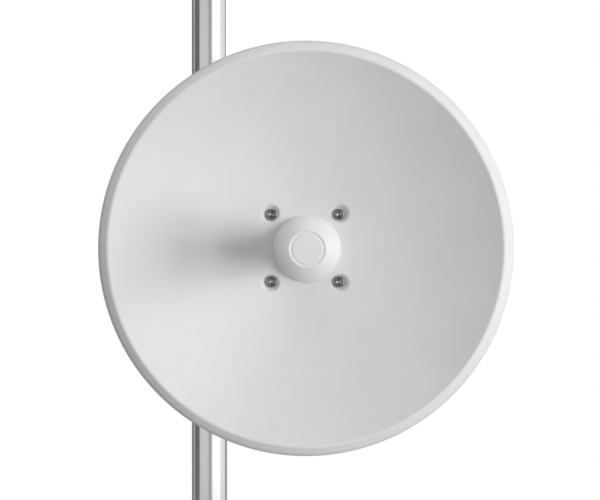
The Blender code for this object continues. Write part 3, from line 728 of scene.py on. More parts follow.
for title, line, material, slot, node in (
    ("collar_moulding", collar_line(), white_moulding, "white_plastic", "feed_collar"),
    ("drawn_tube", tube_line(), satin_aluminium, "feed_aluminium", "feed_tube"),
    ("cone_moulding", cone_line(), grey_moulding, "grey_plastic", "feed_cone"),
):
    dress(turned_piece(title, line, material), "antenna", slot, node)

# %% [markdown]
# ## The mast
# The mast is a thin-walled stainless tube, polished after it was drawn, with a soft plug in its top against
# rain. Both are turned about the world's own Z, so they need no turning into place. The tube stays open
# below, as the solid is.

# %% Turn the tube and its plug
POLE_RADIUS = 0.0212
POLE_WALL = 0.0026
MAST_HEIGHT = 0.800
FOOT_THICKNESS = 0.008
FOOT_TOP = FOOT_THICKNESS + PLAY
PLUG_DEPTH = 0.016


def pole_line():
    inner = POLE_RADIUS - POLE_WALL
    line = [(POLE_RADIUS, FOOT_TOP, 0.0003), (POLE_RADIUS, MAST_HEIGHT, 0.0006)]
    return line + [(inner, MAST_HEIGHT, 0.0006), (inner, FOOT_TOP, 0.0003)]


def plug_line():
    """A low dome with a lip, and three soft rings below that grip the bore."""
    wide, brim, grip = POLE_RADIUS, MAST_HEIGHT + PLAY, POLE_RADIUS - POLE_WALL - PLAY
    line = [(0, brim + 0.0055, 0), (wide * 0.60, brim + 0.0050, 0.0200), (wide * 0.93, brim + 0.0034, 0.0030)]
    line += [(wide, brim + 0.0010, 0.0014), (wide, brim, 0.0002), (grip - 0.0008, brim, 0.0002)]
    for ring in range(3):
        top = MAST_HEIGHT - 0.0025 - ring * 0.004
        line += [(grip - 0.0008, top, 0.0002), (grip, top - 0.0008, 0.0004)]
        line.append((grip - 0.0008, top - 0.0022, 0.0002))
    return line + [(grip - 0.0015, MAST_HEIGHT - PLUG_DEPTH, 0.0006), (0, MAST_HEIGHT - PLUG_DEPTH, 0)]


dress(turned_piece("pole_tube", pole_line(), polished_tube, 192, UPRIGHT), "mast", "tube_steel", "mast_pole")
pole_plug = turned_piece("pole_plug", plug_line(), black_moulding, place=UPRIGHT)
dress(pole_plug, "mast", "black_plastic", "pole_cap")

# %% [markdown]
# ## Plates
# The foot, its gussets and the two bent brackets are cut from plate. Cutting leaves a small round on every
# edge, and that round is what catches the light. So each blank is skinned from rings: its outline drawn in
# a little, then out to full size over a quarter circle, and back again on the other face. Only the two flat
# faces are filled with triangles. A bent plate is made as in the workshop: flat first, scored across where
# it will curve, then folded.

# %% Skin a blank
EDGE_ROUND = 0.0004
EDGE_STEPS = 3


def circle_loop(radius, centre=(0, 0), sides=48):
    turns = [math.tau * k / sides for k in range(sides)]
    return [Vector((centre[0] + radius * math.cos(t), centre[1] + radius * math.sin(t))) for t in turns]


def rounded_rectangle(half_width, bottom, top, corner, steps=8):
    corners = [(half_width, bottom), (half_width, top), (-half_width, top), (-half_width, bottom)]
    return softened([(x, y, corner) for x, y in corners], steps)


def way_round(loop):
    """Positive where the loop runs anticlockwise."""
    return sum(a.x * b.y - b.x * a.y for a, b in zip(loop, [*loop[1:], loop[0]]))


def drawn_in(loop, amount):
    """The loop moved to its left by that amount, with mitred corners."""
    moved = []
    for i, here in enumerate(loop):
        first = (here - loop[i - 1]).normalized()
        second = (loop[(i + 1) % len(loop)] - here).normalized()
        across = Vector((-first.y - second.y, first.x + second.x))
        moved.append(here + across * (amount / (1 + first.dot(second))))
    return moved


def bridged(bm, rings, closed=False):
    """Puts rings of points into the bmesh, with faces from each to the next, and round again if closed."""
    rings = [[bm.verts.new(p) for p in ring] for ring in rings]
    for lower, upper in zip(rings, rings[1:] + rings[: int(closed)]):
        for i in range(len(lower)):
            j = (i + 1) % len(lower)
            bm.faces.new((lower[i], lower[j], upper[j], upper[i]))
    return rings


def blank(outline, holes, thickness, edge=EDGE_ROUND):
    """A flat plate with softly rounded edges, between z = 0 and its thickness."""
    loops = [outline if way_round(outline) > 0 else outline[::-1]]
    loops += [hole if way_round(hole) < 0 else hole[::-1] for hole in holes]
    turns = [math.radians(90 * k / EDGE_STEPS) for k in range(EDGE_STEPS + 1)]
    below = [(edge * (1 - math.sin(turn)), edge * (1 - math.cos(turn))) for turn in turns]
    levels = below + [(inset, thickness - height) for inset, height in reversed(below)]
    bm = bmesh.new()
    faces = {0: [], -1: []}
    for loop in loops:
        rings = bridged(bm, [[(*p, height) for p in drawn_in(loop, inset)] for inset, height in levels])
        for level, edges in faces.items():
            ring = rings[level]
            edges += [bm.edges.get((point, ring[(i + 1) % len(ring)])) for i, point in enumerate(ring)]
    for edges in faces.values():
        bmesh.ops.triangle_fill(bm, edges=edges, use_beauty=True, normal=(0, 0, 1))
    return bm


def plate_piece(name, bm, material, place=UPRIGHT):
    """A piece whose flats are shaded flat right up to the rounds at their edges."""
    obj = modelled(name, bm, material, place, corner=50)
    straighten_flats(obj, weight=80)
    return obj


print(f"each edge is rounded by {EDGE_ROUND * 1000} mm in {EDGE_STEPS} steps")

# %% Cut the foot
FOOT_SIDE = 0.150
FOOT_CORNER = 0.015
FOOT_EDGE = 0.0008
ANCHOR_SPACING = 0.110
ANCHOR_HOLE = 0.006


def four_corners(x, y):
    return [(x, y), (-x, y), (-x, -y), (x, -y)]


ANCHORS = four_corners(ANCHOR_SPACING / 2, ANCHOR_SPACING / 2)
foot_outline = rounded_rectangle(FOOT_SIDE / 2, -FOOT_SIDE / 2, FOOT_SIDE / 2, FOOT_CORNER)
anchor_holes = [circle_loop(ANCHOR_HOLE, place) for place in ANCHORS]
foot = blank(foot_outline, anchor_holes, FOOT_THICKNESS, FOOT_EDGE)
dress(plate_piece("foot_plate", foot, galvanised), "mast", "zinc_steel", "base_plate")

# %% Cut the gussets
GUSSET_HEIGHT = 0.058
GUSSET_THICKNESS = 0.004
GUSSET_ROOT = POLE_RADIUS + PLAY
GUSSET_REACH = FOOT_SIDE / 2 - 0.012
GUSSET_TOE = 0.006
GUSSET_CORNER = 0.0010


def joined(blanks):
    """Blanks with their places, merged into one bmesh of several closed shells."""
    whole = bmesh.new()
    for bm, place in blanks:
        bm.transform(place)
        scrap = bpy.data.meshes.new("scrap")
        bm.to_mesh(scrap)
        bm.free()
        whole.from_mesh(scrap)
        bpy.data.meshes.remove(scrap)
    return whole


gusset = [(GUSSET_ROOT, 0, 0), (GUSSET_REACH, 0, 0), (GUSSET_REACH, GUSSET_TOE, GUSSET_CORNER)]
gusset += [(GUSSET_ROOT + GUSSET_TOE, GUSSET_HEIGHT, GUSSET_CORNER), (GUSSET_ROOT, GUSSET_HEIGHT, 0)]
stand = Matrix.Translation((0, GUSSET_THICKNESS / 2, FOOT_TOP)) @ LYING
blanks = []
for quarter in range(4):
    turn = Matrix.Rotation(quarter * math.pi / 2, 4, "Z")
    blanks.append((blank(softened(gusset), [], GUSSET_THICKNESS), turn @ stand))
gussets = plate_piece("foot_gussets", joined(blanks), galvanised)
dress(gussets, "mast", "zinc_steel", *numbered("base_gusset"))

# %% [markdown]
# ## Weld beads
# The gussets are welded to the foot and the tube before the mast is galvanised. A bead is a row of small
# overlapping puddles, so a tube of metal swept along the seam, swelling once in each puddle, looks right.
# The seams are plain lines, and the Geometry Nodes tree does the rest. Its random part has a fixed seed, so
# every run welds the same bead.

# %% Build the tree that welds
def welder():
    sizes = [("Bead Radius", "Float"), ("Puddle Length", "Float"), ("Seed", "Int")]
    tree, given = geometry_tree("weld bead", sizes)
    seam = get(tree, "GeometryNodeMeshToCurve", [given["Geometry"]])
    step = calc(tree, "DIVIDE", given["Puddle Length"], 3.0)
    fine = get(tree, "GeometryNodeResampleCurve", {"Curve": seam, "Length": step}, mode="LENGTH")
    along = get(tree, "GeometryNodeSplineParameter", out="Length")
    puddles = calc(tree, "DIVIDE", along, given["Puddle Length"])
    swell = calc(tree, "ABSOLUTE", calc(tree, "SINE", calc(tree, "MULTIPLY", puddles, math.pi)))
    uneven = get(tree, "FunctionNodeRandomValue", {2: 0.84, 3: 0.96, 8: given["Seed"]}, 1)
    width = calc(tree, "MULTIPLY_ADD", swell, 0.14, uneven)
    hoop = get(tree, "GeometryNodeCurvePrimitiveCircle", {"Resolution": 12, "Radius": given["Bead Radius"]})
    bead = {"Curve": fine, "Profile Curve": hoop, "Scale": width, "Fill Caps": True}
    return finished(tree, get(tree, "GeometryNodeCurveToMesh", bead), given)


WELDER = welder()

# %% Weld the foot
def seams_object(name, seams):
    """Open or closed seams as chains of edges. A closed one ends on its first point."""
    points, edges = [], []
    for seam in seams:
        first = len(points)
        closed = (Vector(seam[0]) - Vector(seam[-1])).length < 1e-9
        kept = seam[:-1] if closed else seam
        points += kept
        edges += [(first + k, first + k + 1) for k in range(len(kept) - 1)]
        if closed:
            edges.append((first + len(kept) - 1, first))
    mesh = bpy.data.meshes.new(name)
    mesh.from_pydata(points, edges, [])
    return new_object(name, mesh)


def foot_seams():
    ring = [(p.x, p.y, FOOT_TOP) for p in circle_loop(POLE_RADIUS, sides=64)]
    seams = [[*ring, ring[0]]]
    for quarter in range(4):
        turn = Matrix.Rotation(quarter * math.pi / 2, 3, "Z")
        for side in (GUSSET_THICKNESS / 2, -GUSSET_THICKNESS / 2):
            corner = turn @ Vector((POLE_RADIUS, side, FOOT_TOP))
            toe = turn @ Vector((GUSSET_REACH - 0.002, side, FOOT_TOP))
            head = turn @ Vector((POLE_RADIUS, side, FOOT_TOP + GUSSET_HEIGHT - 0.002))
            seams.append([tuple(corner), tuple(toe)])
            seams.append([tuple(corner), tuple(head)])
    return seams


foot_welds = seams_object("foot_welds", foot_seams())
run_tree(foot_welds, WELDER, galvanised, {"Bead Radius": 0.0021, "Puddle Length": 0.0022, "Seed": 3})
dress(foot_welds, "mast", "zinc_steel")

# %% [markdown]
# ## The bent brackets
# Two jaws grip the tube between V notches. The front one runs on to the right and folds back into a cheek,
# and the dish's hub plate has a cheek that lies against it: one bolt is the hinge, and two more in arc
# slots lock the tilt. A fold keeps the middle of the plate's thickness as long as it was, so each flat
# length is worked out along that line.

# %% Fold a plate
BEND_RADIUS = 0.003


class Fold:
    """A right-angle bend of everything past a line across a flat plate, up (+1) or down (-1)."""

    STEPS = 10

    def __init__(self, start, outward, way, thickness):
        self.start = start
        self.outward = Vector(outward)
        self.way = way
        self.thickness = thickness
        self.length = (BEND_RADIUS + thickness / 2) * math.pi / 2

    def score(self, bm):
        for k in range(self.STEPS + 1):
            line = self.outward * (self.start + self.length * k / self.STEPS)
            everything = bm.verts[:] + bm.edges[:] + bm.faces[:]
            bmesh.ops.bisect_plane(bm, geom=everything, dist=1e-6, plane_co=line, plane_no=self.outward)

    def bend(self, bm):
        centre = self.thickness + BEND_RADIUS if self.way > 0 else -BEND_RADIUS
        for vert in bm.verts:
            past = vert.co.dot(self.outward) - self.start
            if past <= 1e-7:
                continue
            turn = min(past / self.length, 1) * math.pi / 2
            straight = max(past - self.length, 0)
            reach = abs(centre - vert.co.z)
            vert.co += self.outward * (reach * math.sin(turn) + straight * math.cos(turn) - past)
            vert.co.z = centre + self.way * (straight * math.sin(turn) - reach * math.cos(turn))

    def flat(self, reach):
        """Where on the blank a point lies that ends up that far beyond the face inside the bend."""
        return self.start + self.length + reach - BEND_RADIUS


def folded(bm, *folds):
    for fold in folds:
        fold.score(bm)
    for fold in folds:
        fold.bend(bm)
    return bm


print(f"a fold in 4 mm plate takes up {Fold(0, (0, 1, 0), 1, 0.004).length * 1000:.1f} mm of it")

# %% Fold the two jaws
BRACKET_THICKNESS = 0.004
BRACKET_HALF_HEIGHT = 0.044
BRACKET_LEFT = 0.048
CLAMP_FACE = 0.029
CLAMP_BACK = CLAMP_FACE + BRACKET_THICKNESS
FLANGE_HALF_WIDTH = 0.040
FLANGE_REACH = 0.017
FLANGE_CORNER = 0.004
CLAMP_BOLTS = four_corners(0.029, 0.021)
BOLT_HOLE = 0.0044
NOTCH_HALF_ANGLE = math.radians(60)

flange_start = BRACKET_HALF_HEIGHT - BEND_RADIUS - BRACKET_THICKNESS
flange_root = flange_start - 0.001
upper_fold = Fold(flange_start, (0, 1, 0), 1, BRACKET_THICKNESS)
lower_fold = Fold(flange_start, (0, -1, 0), 1, BRACKET_THICKNESS)


def toothed(start, end, teeth=8, depth=0.0005):
    """Points from start to end along a row of small teeth that bite the tube. They are cut into the plate."""
    along = end - start
    inward = Vector((-along.y, along.x)).normalized() * depth
    if inward.y > 0:
        inward = -inward
    row = []
    for k in range(teeth):
        row.append(start + along * (k / teeth))
        row.append(start + along * ((k + 0.5) / teeth) + inward)
    return [*row, end]


def notched_flange(fold, side):
    """One clamp flange from right to left on the side of +y, with its toothed V."""
    apex = (POLE_RADIUS + PLAY) / math.sin(NOTCH_HALF_ANGLE)
    mouth = (apex - CLAMP_FACE + FLANGE_REACH) * math.tan(NOTCH_HALF_ANGLE)
    end = fold.flat(FLANGE_REACH)
    deep = Vector((0, fold.flat(CLAMP_FACE - apex)))
    right, left = Vector((mouth, end)), Vector((-mouth, end))
    wide = FLANGE_HALF_WIDTH
    notch = [*toothed(right, deep), *toothed(deep, left)[1:]]
    corners = [(wide, flange_root, 0), (wide, end, FLANGE_CORNER)]
    corners += [(p.x, p.y, 0) for p in notch]
    corners += [(-wide, end, FLANGE_CORNER), (-wide, flange_root, 0)]
    return corners if side > 0 else [(x, -y, bend) for x, y, bend in reversed(corners)]


def jaw_outline(right_end, right_bend):
    corners = notched_flange(upper_fold, 1)
    corners += [(-BRACKET_LEFT, side * flange_root, FLANGE_CORNER) for side in (1, -1)]
    corners += notched_flange(lower_fold, -1)
    corners += [(right_end, -flange_root, right_bend), (right_end, flange_root, right_bend)]
    return softened(corners)


bolt_holes = [circle_loop(BOLT_HOLE, place) for place in CLAMP_BOLTS]
jaw = blank(jaw_outline(BRACKET_LEFT, FLANGE_CORNER), bolt_holes, BRACKET_THICKNESS)
jaw = folded(jaw, upper_fold, lower_fold)
back_place = Matrix.Translation((0, CLAMP_BACK, DISH_HEIGHT)) @ LYING
dress(plate_piece("bent_jaw", jaw, galvanised, back_place), "bracket", "zinc_steel", "clamp_jaw")

# %% Fold the bracket with its arc slots
CHEEK_REACH = 0.044
CHEEK_OUTSIDE = 0.061
CHEEK_CORNER = 0.010
PIVOT_BACK = 0.032
TILT_RANGE = math.radians(20)
LOCK_RADIUS = 0.028
LOCK_HOLE = 0.0034


def arc_slot(centre, radius, middle, half_sweep, half_width, steps=16):
    """A slot along an arc about the centre, with round ends."""
    centre = Vector(centre)

    def out(turn, length):
        return Vector((length * math.cos(turn), length * math.sin(turn)))

    loop = []
    for side in (1, -1):
        for k in range(steps + 1):
            turn = middle + side * half_sweep * (2 * k / steps - 1)
            loop.append(centre + out(turn, radius + side * half_width))
        end = middle + side * half_sweep
        outward = end if side > 0 else end + math.pi
        middle_of_end = centre + out(end, radius)
        loop += [middle_of_end + out(outward + k * math.pi / 10, half_width) for k in range(1, 10)]
    return loop


cheek_x = DISH_RIGHT - CHEEK_OUTSIDE - PLAY
cheek_fold = Fold(cheek_x - BEND_RADIUS - BRACKET_THICKNESS, (1, 0, 0), -1, BRACKET_THICKNESS)
hinge = (cheek_fold.flat(POLE_TO_VERTEX - PIVOT_BACK - CLAMP_BACK), 0)
sweep = TILT_RANGE + math.radians(1)
bracket_holes = [*bolt_holes, circle_loop(BOLT_HOLE, hinge)]
bracket_holes += [arc_slot(hinge, LOCK_RADIUS, side * math.pi / 2, sweep, LOCK_HOLE) for side in (1, -1)]
bracket_outline = jaw_outline(cheek_fold.flat(CHEEK_REACH), CHEEK_CORNER)
bracket = blank(bracket_outline, bracket_holes, BRACKET_THICKNESS)
bracket = folded(bracket, upper_fold, lower_fold, cheek_fold)
front_place = Matrix.Translation((0, -CLAMP_BACK, DISH_HEIGHT)) @ Matrix.Rotation(-math.pi / 2, 4, "X")
bracket = plate_piece("bent_bracket", bracket, galvanised, front_place)
dress(bracket, "bracket", "zinc_steel", "clamp_bracket")

# %% Fold the hub plate
HUB_FRONT = 0.0002
HUB_THICKNESS = 0.003
HUB_REAR = HUB_FRONT - HUB_THICKNESS
HUB_HALF_HEIGHT = 0.060
HUB_RIGHT = 0.055
HUB_CHEEK_REACH = 0.0465
SCREWS = four_corners(SCREW_SPACING / 2, SCREW_SPACING / 2)

hub_fold = Fold(CHEEK_OUTSIDE - BEND_RADIUS - HUB_THICKNESS, (-1, 0, 0), -1, HUB_THICKNESS)
hub_hinge = (-hub_fold.flat(PIVOT_BACK + HUB_REAR), 0)
waist = 0.001 - hub_fold.start
tip = -hub_fold.flat(HUB_CHEEK_REACH)
cheek_half = LOCK_RADIUS + 0.009
upper = [
    (HUB_RIGHT, HUB_HALF_HEIGHT, 0.008),
    (waist + 0.012, HUB_HALF_HEIGHT, 0.006),
    (waist, cheek_half, 0.003),
    (tip, cheek_half, 0.009),
]
hub_outline = softened([*upper, *[(x, -y, bend) for x, y, bend in reversed(upper)]])
hub_holes = [circle_loop(0.038, sides=96), circle_loop(BOLT_HOLE, hub_hinge)]
hub_holes += [circle_loop(BOLT_HOLE, place) for place in SCREWS]
hub_holes += [circle_loop(LOCK_HOLE, (hub_hinge[0], side * LOCK_RADIUS)) for side in (1, -1)]
hub = folded(blank(hub_outline, hub_holes, HUB_THICKNESS), hub_fold)
hub_place = DISH_PLACE @ Matrix.Translation((0, 0, HUB_REAR))
hub_plate = plate_piece("bent_hub_plate", hub, galvanised, hub_place)
dress(hub_plate, "antenna", "zinc_steel", "hub_plate")

# %% [markdown]
# ## Fasteners
# Screws come in sets that all face one way. One of each kind is skinned from rings of 48 points, where a
# hexagon is just a ring whose points lie on six flats, and a chamfer is a cone that takes the hexagon's
# corners down. The thread is a groove whose depth follows both the height and the turn, so it climbs as a
# real one does. A Geometry Nodes tree then stands the fastener on each seat and turns every copy by its own
# random angle, because nobody lines them up.

# %% Skin a fastener from rings
AROUND = 48
TURNS = [math.tau * k / AROUND for k in range(AROUND)]
CHAMFER = math.tan(math.radians(30))


def spoke(turn, length, height):
    return Vector((length * math.cos(turn), length * math.sin(turn), height))


def round_ring(radius, height):
    return [spoke(turn, radius, height) for turn in TURNS]


def hex_ring(flats, height, slope=0.0):
    """A hexagon's ring. A slope lowers its corners along a cone, or raises them where it is negative."""
    sixth = math.radians(60)
    ring = []
    for turn in TURNS:
        reach = flats / 2 / math.cos(turn % sixth - sixth / 2)
        ring.append(spoke(turn, reach, height - slope * (reach - flats / 2)))
    return ring


def thread_rings(radius, pitch, start, end, steps=6):
    """Rings of a thread. Its groove climbs once round in one pitch and fades out at both ends."""
    count = round(abs(start - end) / pitch * steps)
    rings = []
    for k in range(count + 1):
        height = start + (end - start) * k / count
        fade = min(1, k / steps, (count - k) / steps)
        ring = []
        for turn in TURNS:
            groove = 1 - abs(2 * ((height / pitch + turn / math.tau) % 1) - 1)
            ring.append(spoke(turn, radius - pitch * 0.5 * fade * groove, height))
        rings.append(ring)
    return rings


def hex_body(flats, bottom, top):
    """A hexagon from bottom to top, with chamfered corners at both ends."""
    face = flats * 0.475
    drop = (flats / 2 - face) * CHAMFER
    sides = [hex_ring(flats, bottom + drop, -CHAMFER), hex_ring(flats, top - drop, CHAMFER)]
    return [(face, bottom), *sides, (face, top)]


def shell(rings, ring_shaped=False):
    """A closed bmesh skinned from rings. One that is given as (radius, height) is round. Faces close the two
    ends, or it runs round a bore."""
    bm = bmesh.new()
    loops = [round_ring(*ring) if isinstance(ring, tuple) else ring for ring in rings]
    loops = bridged(bm, loops, ring_shaped)
    if not ring_shaped:
        bm.faces.new(loops[0])
        bm.faces.new(loops[-1])
    return bm


print(f"a hexagon 13 mm across its flats is {13 / math.cos(math.pi / 6):.1f} mm across its corners")

# %% Draw each kind of fastener
M6 = (0.003, 0.010, 0.0010)
M8 = (0.004, 0.013, 0.00125)
M10 = (0.005, 0.016, 0.0015)


def hex_bolt(size, head_height, length, threaded):
    """A bolt whose head stands on z = 0, with its shank along -Z."""
    radius, flats, pitch = size
    start = threaded - length
    rings = hex_body(flats, 0, head_height)[::-1] + [(radius + 0.0004, 0), (radius, -0.0004), (radius, start)]
    rings += [*thread_rings(radius, pitch, start, 0.0008 - length), (radius - 0.0008, -length)]
    return modelled("hex bolt", shell(rings))


def coach_bolt(size, length):
    """A bolt with a low domed head, for where no spanner fits."""
    radius, _, pitch = size
    across, rise, neck = radius * 2.1, radius * 0.9, -radius * 1.5
    turns = [math.radians(k * 10) for k in range(1, 10)]
    rings = [(across * math.sin(t), rise * (0.12 + 0.88 * math.cos(t))) for t in turns]
    rings += [(across, 0.0002), (across - 0.0002, 0), (radius, 0), (radius, neck)]
    rings += [*thread_rings(radius, pitch, neck, 0.0006 - length), (radius - 0.0006, -length)]
    return modelled("coach bolt", shell(rings))


def flanged_nut(size, height):
    """A nut that bears on z = 0 with a flange, and stands along +Z."""
    radius, flats, _ = size
    wide, bore, waist = flats * 0.62, radius + PLAY, height * 0.24
    rings = [(wide - 0.0002, 0), (wide, 0.0002), (wide, height * 0.12), (wide - 0.0004, height * 0.2)]
    rings += [(flats * 0.585, waist), *hex_body(flats, waist, height)[2:]]
    rings += [(bore + 0.0006, height), (bore, height - 0.0006), (bore, 0)]
    return modelled("flanged nut", shell(rings, ring_shaped=True))


def anchor_stud(size, bottom, seat):
    """A threaded stud in the foot's hole, with its washer and nut."""
    radius, flats, pitch = size
    washer, top = radius * 2, seat + 0.002
    rings = [(radius, bottom), (radius, seat), (washer - 0.0002, seat), (washer, seat + 0.0002)]
    rings += [(washer, top - 0.0003), (washer - 0.0003, top), *hex_body(flats, top, top + 0.008)]
    rings += [(radius + 0.0008, top + 0.008), (radius, top + 0.0074)]
    rings += [*thread_rings(radius, pitch, top + 0.0074, top + 0.0152), (radius - 0.0008, top + 0.016)]
    return modelled("anchor stud", shell(rings))


HUB_HEAD_RADIUS = 0.0067
HUB_HEAD_HEIGHT = 0.0046
HUB_SHOULDER = 0.0021
HUB_SOCKET = 0.006


def hub_screw(size, length):
    """A low cylinder head with a rounded shoulder and a hexagon socket."""
    radius, _, _ = size
    head, top = HUB_HEAD_RADIUS, HUB_HEAD_HEIGHT
    rings = [(radius - 0.0006, -length), (radius, 0.0006 - length), (radius, 0)]
    rings += [(head - 0.0002, 0), (head, 0.0002)]
    for k in range(7):
        turn = math.radians(15 * k)
        rings.append((head - HUB_SHOULDER * (1 - math.cos(turn)), top - HUB_SHOULDER * (1 - math.sin(turn))))
    rings += [(HUB_SOCKET * 0.62, top), hex_ring(HUB_SOCKET, top - 0.0004, CHAMFER)]
    rings += [hex_ring(HUB_SOCKET, top - 0.0018), (0.0005, top - 0.0028)]
    return modelled("hub screw", shell(rings))


print("a thread ring every", round(M8[2] / 6 * 1000, 2), "mm on the bolts of the clamp")

# %% Build the tree that sets fasteners
def fastener_setter():
    """Stands a copy on each seat, facing one way, and spins each copy about its own axis."""
    inputs = [("Fastener", "Object"), ("Facing", "Vector"), ("Seed", "Int")]
    tree, given = geometry_tree("set of fasteners", inputs)
    one = get(tree, "GeometryNodeObjectInfo", {"Object": given["Fastener"]}, "Geometry")
    turn = get(tree, "FunctionNodeRandomValue", {2: 0.0, 3: math.tau, 8: given["Seed"]}, 1)
    spin = get(tree, "FunctionNodeAxisAngleToRotation", {"Axis": (0, 0, 1), "Angle": turn})
    turns = {"Rotation": get(tree, "FunctionNodeEulerToRotation", [given["Facing"]]), "Rotate By": spin}
    turned = get(tree, "FunctionNodeRotateRotation", turns, rotation_space="LOCAL")
    copies = {"Points": given["Geometry"], "Instance": one, "Rotation": turned}
    return finished(tree, get(tree, "GeometryNodeInstanceOnPoints", copies), given)


FASTENER_SETTER = fastener_setter()
FACE_FRONT = (math.pi / 2, 0, 0)
FACE_BACK = (-math.pi / 2, 0, 0)
FACE_RIGHT = (0, math.pi / 2, 0)
FACE_LEFT = (0, -math.pi / 2, 0)
FACE_UP = (0, 0, 0)


def set_of(name, fastener, seats, facing, seed, material):
    """One piece that holds a copy of the fastener on each seat. The helper is thrown away."""
    mesh = bpy.data.meshes.new(name)
    mesh.from_pydata([tuple(seat) for seat in seats], [], [])
    placed = new_object(name, mesh)
    run_tree(placed, FASTENER_SETTER, material, {"Fastener": fastener, "Facing": facing, "Seed": seed})
    bpy.data.objects.remove(fastener, do_unlink=True)
    return placed

# %% Bolt the clamp together
NUT_HEIGHT = 0.0065
THREADED = 0.028
clamp_bolt = hex_bolt(M8, 0.0053, 2 * CLAMP_BACK + NUT_HEIGHT + 0.004, THREADED)
heads = [(x, -CLAMP_BACK - PLAY, DISH_HEIGHT + z) for x, z in CLAMP_BOLTS]
ends = [(x, CLAMP_BACK + PLAY, DISH_HEIGHT + z) for x, z in CLAMP_BOLTS]
clamp_bolt_set = set_of("clamp_bolt_set", clamp_bolt, heads, FACE_FRONT, 5, bright_steel)
dress(clamp_bolt_set, "bracket", "stainless", *numbered("clamp_bolt"))
clamp_nut_set = set_of("clamp_nut_set", flanged_nut(M8, NUT_HEIGHT), ends, FACE_BACK, 8, bright_steel)
dress(clamp_nut_set, "bracket", "stainless", *numbered("clamp_nut"))

# %% Bolt the hinge and its locks
head_x = DISH_RIGHT + HUB_THICKNESS + PLAY - CHEEK_OUTSIDE
nut_x = DISH_RIGHT - CHEEK_OUTSIDE - 2 * PLAY - BRACKET_THICKNESS
hinge_y = PIVOT_BACK - POLE_TO_VERTEX
locks = [DISH_HEIGHT + LOCK_RADIUS, DISH_HEIGHT - LOCK_RADIUS]
for title, size, height, rows, seed, nodes in (
    ("hinge", M8, NUT_HEIGHT, [DISH_HEIGHT], 2, ["pivot"]),
    ("lock", M6, 0.005, locks, 4, ["lock_1", "lock_2"]),
):
    bolt = coach_bolt(size, head_x - nut_x + height + 0.0015)
    seats = [(head_x, hinge_y, z) for z in rows]
    bolts = set_of(f"{title}_bolt_set", bolt, seats, FACE_RIGHT, seed, bright_steel)
    dress(bolts, "antenna", "stainless", *[f"{node}_bolt" for node in nodes])
    nut = flanged_nut(size, height)
    seats = [(nut_x, hinge_y, z) for z in rows]
    nuts = set_of(f"{title}_nut_set", nut, seats, FACE_LEFT, seed + 1, bright_steel)
    dress(nuts, "antenna", "stainless", *[f"{node}_nut" for node in nodes])

# %% Anchor the foot and screw the hub
stud_seats = [(x, y, 0) for x, y in ANCHORS]
anchor_set = set_of("anchor_set", anchor_stud(M10, 0, FOOT_TOP), stud_seats, FACE_UP, 6, galvanised)
dress(anchor_set, "mast", "zinc_steel", *numbered("anchor_bolt"))

screw_seats = [DISH_PLACE @ Vector((x, y, SEAT_HEIGHT + PLAY)) for x, y in SCREWS]
hub_screw_set = set_of("hub_screw_set", hub_screw(M8, 0.016), screw_seats, FACE_FRONT, 11, dark_steel)
dress(hub_screw_set, "antenna", "stainless", *numbered("hub_screw"))

# %% [markdown]
# ## The radio
# Behind the dish the feed's tube ends in a flat radio. Its front half is an aluminium casting that the four
# hub screws go into, with cooling ribs round its waist, and its rear half is a white moulded shell. Both
# are skinned from rounded rectangles that are drawn in or out from ring to ring. The ribs follow the
# casting's outline, so a tree spaces them evenly along that line and turns each one square to it.

# %% Skin a rounded box
RADIO_HALF_WIDTH = 0.050
RADIO_TOP = 0.072
RADIO_BOTTOM = -0.100
RADIO_CORNER = 0.014
RADIO_SPLIT = 0.016
RADIO_BACK = 0.052


def radio_ring(inset, height):
    corner = max(RADIO_CORNER - inset, 0.004)
    half = RADIO_HALF_WIDTH - inset
    loop = rounded_rectangle(half, RADIO_BOTTOM + inset, RADIO_TOP - inset, corner)
    return [Vector((p.x, p.y, height)) for p in loop]


def boxed(name, levels, material):
    """A piece skinned from (inset, height) levels of the radio's outline."""
    return plate_piece(name, shell([radio_ring(*level) for level in levels]), material, DISH_PLACE)


def round_over(inset, height, radius, steps=6):
    """Levels of a quarter round, from the outline's side up to a flat face."""
    turns = [math.radians(90 * k / steps) for k in range(steps + 1)]
    return [(inset + radius * (1 - math.cos(t)), height + radius * (math.sin(t) - 1)) for t in turns]


print(f"{len(radio_ring(0, 0))} points in each ring of the radio")

# %% Cast the front half
CAST_FRONT = HUB_REAR - PLAY
WAIST_DEPTH = 0.0024
RIM = 0.0026


def casting_levels():
    """From the split to the front: a rim, the waist that holds the ribs, and a rim again."""
    low, high = -RADIO_SPLIT + RIM, CAST_FRONT - RIM
    levels = [(0.0003, -RADIO_SPLIT), (0, -RADIO_SPLIT + 0.0003), (0, low - 0.0003), (0.0003, low)]
    levels += [(WAIST_DEPTH, low + 0.0004), (WAIST_DEPTH, high - 0.0004), (0.0003, high), (0, high + 0.0003)]
    return levels + round_over(0, CAST_FRONT, 0.0010)


radio_casting = boxed("radio_casting", casting_levels(), cast_alloy)
dress(radio_casting, "antenna", "cast_aluminium", "radio_base")

# %% Build the tree that sets ribs along a line
def rib_setter():
    tree, given = geometry_tree("ribs along a line", [("Spacing", "Float"), ("Rib", "Vector")])
    line = get(tree, "GeometryNodeMeshToCurve", [given["Geometry"]])
    places = {"Curve": line, "Length": given["Spacing"]}
    points = add(tree, "GeometryNodeCurveToPoints", places, mode="LENGTH").outputs
    along = {"Vector": points["Tangent"]}
    turn = get(tree, "FunctionNodeAlignRotationToVector", along, axis="X", pivot_axis="Z")
    rib = get(tree, "GeometryNodeMeshCube", {"Size": given["Rib"]})
    copies = {"Points": points["Points"], "Instance": rib, "Rotation": turn}
    return finished(tree, get(tree, "GeometryNodeInstanceOnPoints", copies), given)


RIB_SETTER = rib_setter()

# %% Set the cooling ribs
RIB_SPACING = 0.0052
RIB_WIDTH = 0.0016

